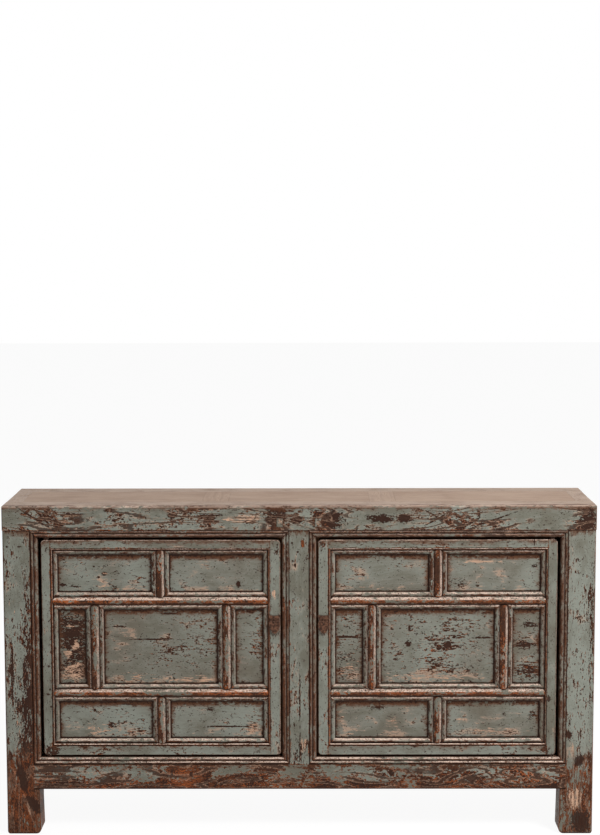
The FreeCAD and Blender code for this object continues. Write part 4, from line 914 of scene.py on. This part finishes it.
@dataclass(frozen=True)
class RustyIron:
    """Forged iron under an even brown rust, rubbed brighter where it is handled.

    Sizes, reaches and relief are in millimetres.
    """

    brown: Colour = paint_chip(112, 78, 60)
    dark: Colour = paint_chip(52, 34, 26)
    bright: Colour = paint_chip(190, 160, 142)
    roughness: float = 0.5
    metallic: float = 0.25
    sheen: float = 0.15
    relief: float = 0.12
    rust_size: float = 5.0
    grit_size: float = 0.8
    edge_reach: float = 0.8
    corner_reach: float = 3.0

    def make(self, name: str, seed: float) -> bpy.types.Material:
        """Put the iron together for one node.

        Args:
            name: The material's name.
            seed: Where in the noise this node's rust lies.

        Returns:
            The material.
        """
        bench = Bench(bpy.data.materials.new(name))
        moved = bench.shifted(bench.place(), seed, (1.0, 1.0, 1.0))
        rust = bench.noise(moved, self.rust_size, 5, 0.6)
        grit = bench.noise(moved, self.grit_size, 3)
        edge = bench.shelter(self.edge_reach, inside=True).rise(0.15, 0.45)
        corner = bench.shelter(self.corner_reach)
        colour = bench.mix(self.dark, self.brown, (rust * 0.5 + grit * 0.3).rise(-1.0, 1.4))
        colour = bench.mix(colour, self.bright, edge * 0.2)
        colour = bench.mix(colour, self.dark, corner.rise(0.15, 0.6))
        height = rust * 0.2 + grit * 0.15
        constants = {"Metallic": self.metallic, "Specular IOR Level": self.sheen}
        return bench.coated(colour, self.roughness + rust * 0.03, height, self.relief, constants)


class Workshop:
    """Gives nodes of the frame their finishes and counts them."""

    def __init__(self, seed_step: float = 613.0) -> None:
        """Start with no node dressed.

        Args:
            seed_step: How far each node's wear lies from the last one's in the noise.
        """
        self.seed_step = seed_step
        self.dressed = 0

    def dress(self, node: str, finish: WornPaint | BareWood | RustyIron) -> None:
        """Give one CAD node its own material.

        Args:
            node: The node's name.
            finish: The finish that it gets.
        """
        self.dressed += 1
        material = finish.make(f"{node}_finish", self.seed_step * self.dressed)
        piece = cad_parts[node]
        piece.data.materials.clear()
        piece.data.materials.append(material)
        log.info("%s: %s", node, type(finish).__name__)


@dataclass
class Carcass:
    """The fixed body: top, posts, rails, boards and floor.

    post_face is the depth of the flat faces of the posts and of the lower rail, in millimetres. Up to
    bare_height the posts have lost their paint.
    """

    shop: Workshop
    post_face: float = -148.0
    bare_height: float = 190.0

    def dress(self) -> None:
        """Give every fixed node its finish."""
        self.dress_top()
        self.dress_front()
        self.dress_sides()
        self.dress_inside()

    def dress_top(self) -> None:
        """Bare top panels and cross rails, and outer rails that are bare on top."""
        for side in ("left", "right"):
            finish = WornPaint(Grain.DEEP, wear=0.4, bare_top=True)
            self.shop.dress(f"top_end_rail_{side}", finish)
            self.shop.dress(f"top_cross_rail_{side}", BareWood(Grain.DEEP))
        for place in ("left", "centre", "right"):
            self.shop.dress(f"top_panel_{place}", BareWood(Grain.ALONG))
        finish = WornPaint(
            Grain.ALONG,
            face=FRONT,
            wear=0.45,
            bead_wear=1.4,
            reed_dirt_and_shade=0.85,
            crest_highlight=0.25,
            char=1.5,
            cracks=1.0,
            bare_top=True,
            marks=TOP_RAIL_MARKS,
        )
        self.shop.dress("top_rail_front", finish)
        self.shop.dress("top_rail_back", WornPaint(Grain.ALONG, wear=0.3, bare_top=True))
        finish = WornPaint(Grain.DEEP, wear=0.2, edge_wear=0.6, marks=PLUG_MARKS)
        self.shop.dress("rail_plugs", finish)

    def dress_front(self) -> None:
        """Posts, lower rail and centre post."""
        post = {"face": self.post_face, "bead_wear": 1.3, "crest_highlight": 0.4, "streaks": 0.6}
        foot = {
            "reed_dirt_and_shade": 0.75,
            "edge_wear": 1.2,
            "warmth": -0.6,
            "char": 1.75,
            "cracks": 0.6,
            "crack_top": self.bare_height,
            "bare_below": self.bare_height,
        }
        marks = {"left": LEFT_POST_MARKS, "right": RIGHT_POST_MARKS}
        for side, wear in (("left", 0.05), ("right", -0.5)):
            finish = WornPaint(Grain.UPRIGHT, wear=wear, marks=marks[side], **post, **foot)
            self.shop.dress(f"post_front_{side}", finish)
            finish = WornPaint(Grain.UPRIGHT, wear=0.5, bare_below=self.bare_height)
            self.shop.dress(f"post_back_{side}", finish)
        finish = WornPaint(Grain.UPRIGHT, wear=-0.1, reed_dirt_and_shade=0.8, marks=CENTRE_POST_MARKS, **post)
        self.shop.dress("centre_post", finish)
        finish = WornPaint(
            Grain.ALONG,
            face=self.post_face,
            wear=1.3,
            bead_wear=0.6,
            reed_wear=0.6,
            reed_dirt_and_shade=0.5,
            crest_highlight=1.1,
            char=1.9,
            cracks=1.0,
            bare_below=140.0,
            marks=LOWER_RAIL_MARKS,
        )
        self.shop.dress("bottom_rail_front", finish)
        self.shop.dress("bottom_rail_back", WornPaint(Grain.ALONG, wear=1.4))

    def dress_sides(self) -> None:
        """Side boards and the rails below them, raw on the inside."""
        for side, inwards in (("left", 1.0), ("right", -1.0)):
            unseen = (inwards, 0.0)
            self.shop.dress(f"bottom_side_rail_{side}", WornPaint(Grain.DEEP, wear=1.0, unseen=unseen))
            self.shop.dress(f"side_panel_{side}", WornPaint(Grain.UPRIGHT, wear=-0.1, unseen=unseen))

    def dress_inside(self) -> None:
        """Back, floor and stop, which never had any paint."""
        raw = {
            "light": paint_chip(150, 110, 78),
            "dark": paint_chip(120, 82, 56),
            "pore_and_shade": paint_chip(70, 44, 30),
            "roughness": 0.7,
        }
        for node in ("back_stile", "back_panel_left", "back_panel_right", "door_stop"):
            self.shop.dress(node, BareWood(Grain.UPRIGHT, **raw))
        for node in ("floor_board_front", "floor_board_back"):
            self.shop.dress(node, BareWood(Grain.ALONG, **raw))
        self.shop.dress("floor_bearers", BareWood(Grain.DEEP, **raw))


@dataclass
class Door:
    """One door with its lattice, panels and pull.

    face is the depth of the flat faces of its members, in millimetres.
    """

    shop: Workshop
    side: str
    frame_marks: tuple[Mark, ...]
    corner_marks: tuple[Mark, ...]
    field_marks: tuple[Mark, ...]
    face: float = -144.0

    def dress(self) -> None:
        """Give every node of the door its finish."""
        self.dress_frame()
        self.dress_bars()
        self.dress_panels()
        for name in ("door_pull_plate", "door_pull_staple", "pull_drop"):
            self.shop.dress(f"{self.side}_{name}", RustyIron())

    def dress_frame(self) -> None:
        """Stiles and rails, worn most on their fine bead."""
        stick = {
            "face": self.face,
            "edge_wear": 1.4,
            "bead_wear": 2.8,
            "reed_wear": 0.4,
            "marks": self.frame_marks,
        }
        # The hinge stile gets more soiling and painted shade in its corners than the pull stile.
        for name, corner_dirt_and_shade in (("hinge_stile", 1.0), ("pull_stile", 0.6)):
            self.shop.dress(self.node(name), WornPaint(Grain.UPRIGHT, wear=-0.5, corner_dirt_and_shade=corner_dirt_and_shade, **stick))
        # The bottom rail gets the brightest painted highlights on its crests.
        for name, crest_highlight in (("rail_top", 1.0), ("rail_bottom", 1.8)):
            self.shop.dress(self.node(name), WornPaint(Grain.ALONG, wear=-0.2, crest_highlight=crest_highlight, **stick))

    def dress_bars(self) -> None:
        """Bars of the lattice: bare middle reeds between low reeds that kept their paint."""
        long_bar = WornPaint(
            Grain.ALONG,
            face=self.face,
            wear=2.1,
            bead_wear=0.2,
            reed_wear=-1.7,
            crest_highlight=1.3,
            warmth=1.1,
            char=2.8,
        )
        for name in ("muntin_upper", "muntin_lower"):
            self.shop.dress(self.node(name), long_bar)
        short_bar = WornPaint(
            Grain.UPRIGHT,
            face=self.face,
            wear=1.7,
            bead_wear=0.2,
            reed_wear=-1.2,
            crest_highlight=1.6,
            warmth=0.4,
            char=2.0,
        )
        for name in ("muntin_hinge_side", "muntin_pull_side", "short_muntins"):
            self.shop.dress(self.node(name), short_bar)

    def dress_panels(self) -> None:
        """Floating panels, finely worn, with the placed marks."""
        # Panels: a sooty tone, and more soiling and painted shade in their corners.
        panel = {"soot_and_shade": 0.2, "corner_dirt_and_shade": 1.2, "streaks": 0.5, "patches": 0.35}
        finish = WornPaint(Grain.ALONG, wear=-0.5, marks=self.corner_marks, **panel)
        self.shop.dress(self.node("corner_panels"), finish)
        for name, wear in (("side_panels", 0.4), ("centre_panel", 0.25)):
            finish = WornPaint(Grain.ALONG, wear=wear, marks=self.field_marks, **panel)
            self.shop.dress(self.node(name), finish)

    def node(self, name: str) -> str:
        """The full name of one of the door's nodes."""
        return f"{self.side}_door_{name}"


@dataclass(frozen=True)
class Lamp:
    """A square soft lamp: where it hangs, the length of its side, in metres, and its watts."""

    name: str
    place: tuple[float, float, float]
    size: float
    power: float


@dataclass
class Studio:
    """Plain pale floor, soft lamps and the camera.

    Lengths are in metres and angles in degrees. focal_pixels is the camera's focal length in pixels of
    a picture of picture_height. sky is the strength of the light from all round, and floor_glow that of
    the white that the camera sees on the floor, by the share in floor_share. The lamps point at aim.
    """

    floor_size: float = 40.0
    floor_tone: float = 0.9
    floor_glow: float = 1.06
    floor_share: float = 0.88
    sky: float = 0.26
    key: Lamp = Lamp("key_lamp", (2.1, -2.5, 3.2), 1.0, 140.0)
    fill: Lamp = Lamp("fill_lamp", (-3.0, -3.4, 1.6), 2.4, 16.0)
    aim: tuple[float, float, float] = (0.0, 0.0, 0.4)
    camera_place: tuple[float, float, float] = (0.0254, -4.4127, 1.4756)
    pitch: float = 5.874
    yaw: float = -0.298
    roll: float = 0.133
    focal_pixels: float = 1771.46
    picture_height: float = 835.0
    sensor: float = 36.0
    far: float = 100.0

    def build(self) -> None:
        """Set up everything that is not part of the cabinet."""
        self.lay_floor()
        self.light_world()
        self.hang(self.key)
        self.hang(self.fill)
        self.set_camera()
        bpy.context.scene.view_settings.view_transform = "Standard"

    def lay_floor(self) -> None:
        """A pale floor that keeps the cabinet's shadow."""
        bench = Bench(bpy.data.materials.new("pale_floor"))
        tone = (self.floor_tone, self.floor_tone, self.floor_tone, 1.0)
        matt = bench.node("ShaderNodeBsdfDiffuse", None, {"Color": tone})
        glow = bench.node("ShaderNodeEmission", None, {"Color": WHITE, "Strength": self.floor_glow})
        share = bench.seen_white() * self.floor_share
        shader = bench.node("ShaderNodeMixShader", None, {0: share, 1: matt.outputs[0], 2: glow.outputs[0]})
        bench.node("ShaderNodeOutputMaterial", None, {"Surface": shader.outputs[0]})
        half = self.floor_size / 2
        corners = [(-half, -half, 0), (half, -half, 0), (half, half, 0), (-half, half, 0)]
        mesh = bpy.data.meshes.new("floor")
        mesh.from_pydata(corners, [], [(0, 1, 2, 3)])
        mesh.materials.append(bench.owner)
        floor = bpy.data.objects.new("floor", mesh)
        bpy.context.scene.collection.objects.link(floor)

    def light_world(self) -> None:
        """Even light from all round, seen as white."""
        world = bpy.data.worlds.new("studio")
        bpy.context.scene.world = world
        bench = Bench(world)
        level = bench.seen_white() * (1.0 - self.sky) + self.sky
        back = bench.node("ShaderNodeBackground", None, {"Color": WHITE, "Strength": level})
        bench.node("ShaderNodeOutputWorld", None, {"Surface": back.outputs[0]})

    def hang(self, lamp: Lamp) -> None:
        """Hang a lamp that points at the cabinet's middle.

        Args:
            lamp: The lamp.
        """
        data = bpy.data.lights.new(lamp.name, "AREA")
        data.shape = "SQUARE"
        data.size = lamp.size
        data.energy = lamp.power
        hung = bpy.data.objects.new(lamp.name, data)
        hung.location = lamp.place
        hung.rotation_mode = "QUATERNION"
        hung.rotation_quaternion = (Vector(self.aim) - hung.location).to_track_quat("-Z", "Y")
        bpy.context.scene.collection.objects.link(hung)

    def set_camera(self) -> None:
        """Stand the camera where the photograph was taken from."""
        data = bpy.data.cameras.new("camera")
        data.sensor_width = self.sensor
        data.lens = self.sensor * self.focal_pixels / self.picture_height
        data.clip_end = self.far
        camera = bpy.data.objects.new("camera", data)
        turn = Matrix.Rotation(math.radians(-self.yaw), 4, "Z")
        tip = Matrix.Rotation(math.radians(90 - self.pitch), 4, "X")
        lean = Matrix.Rotation(math.radians(-self.roll), 4, "Z")
        camera.matrix_world = Matrix.Translation(self.camera_place) @ turn @ tip @ lean
        bpy.context.scene.collection.objects.link(camera)
        bpy.context.scene.camera = camera


def main() -> None:
    """Dress the cabinet, set up the studio and log how many nodes were dressed."""
    logging.basicConfig(level=logging.INFO, format="%(name)s: %(message)s")
    shop = Workshop()
    Carcass(shop).dress()
    Door(shop, "left", LEFT_DOOR_MARKS, LEFT_CORNER_PANEL_MARKS, LEFT_FIELD_MARKS).dress()
    Door(shop, "right", RIGHT_DOOR_MARKS, RIGHT_CORNER_PANEL_MARKS, RIGHT_FIELD_MARKS).dress()
    Studio().build()
    log.info("%d nodes dressed", shop.dressed)


if __name__ == "__main__":
    main()
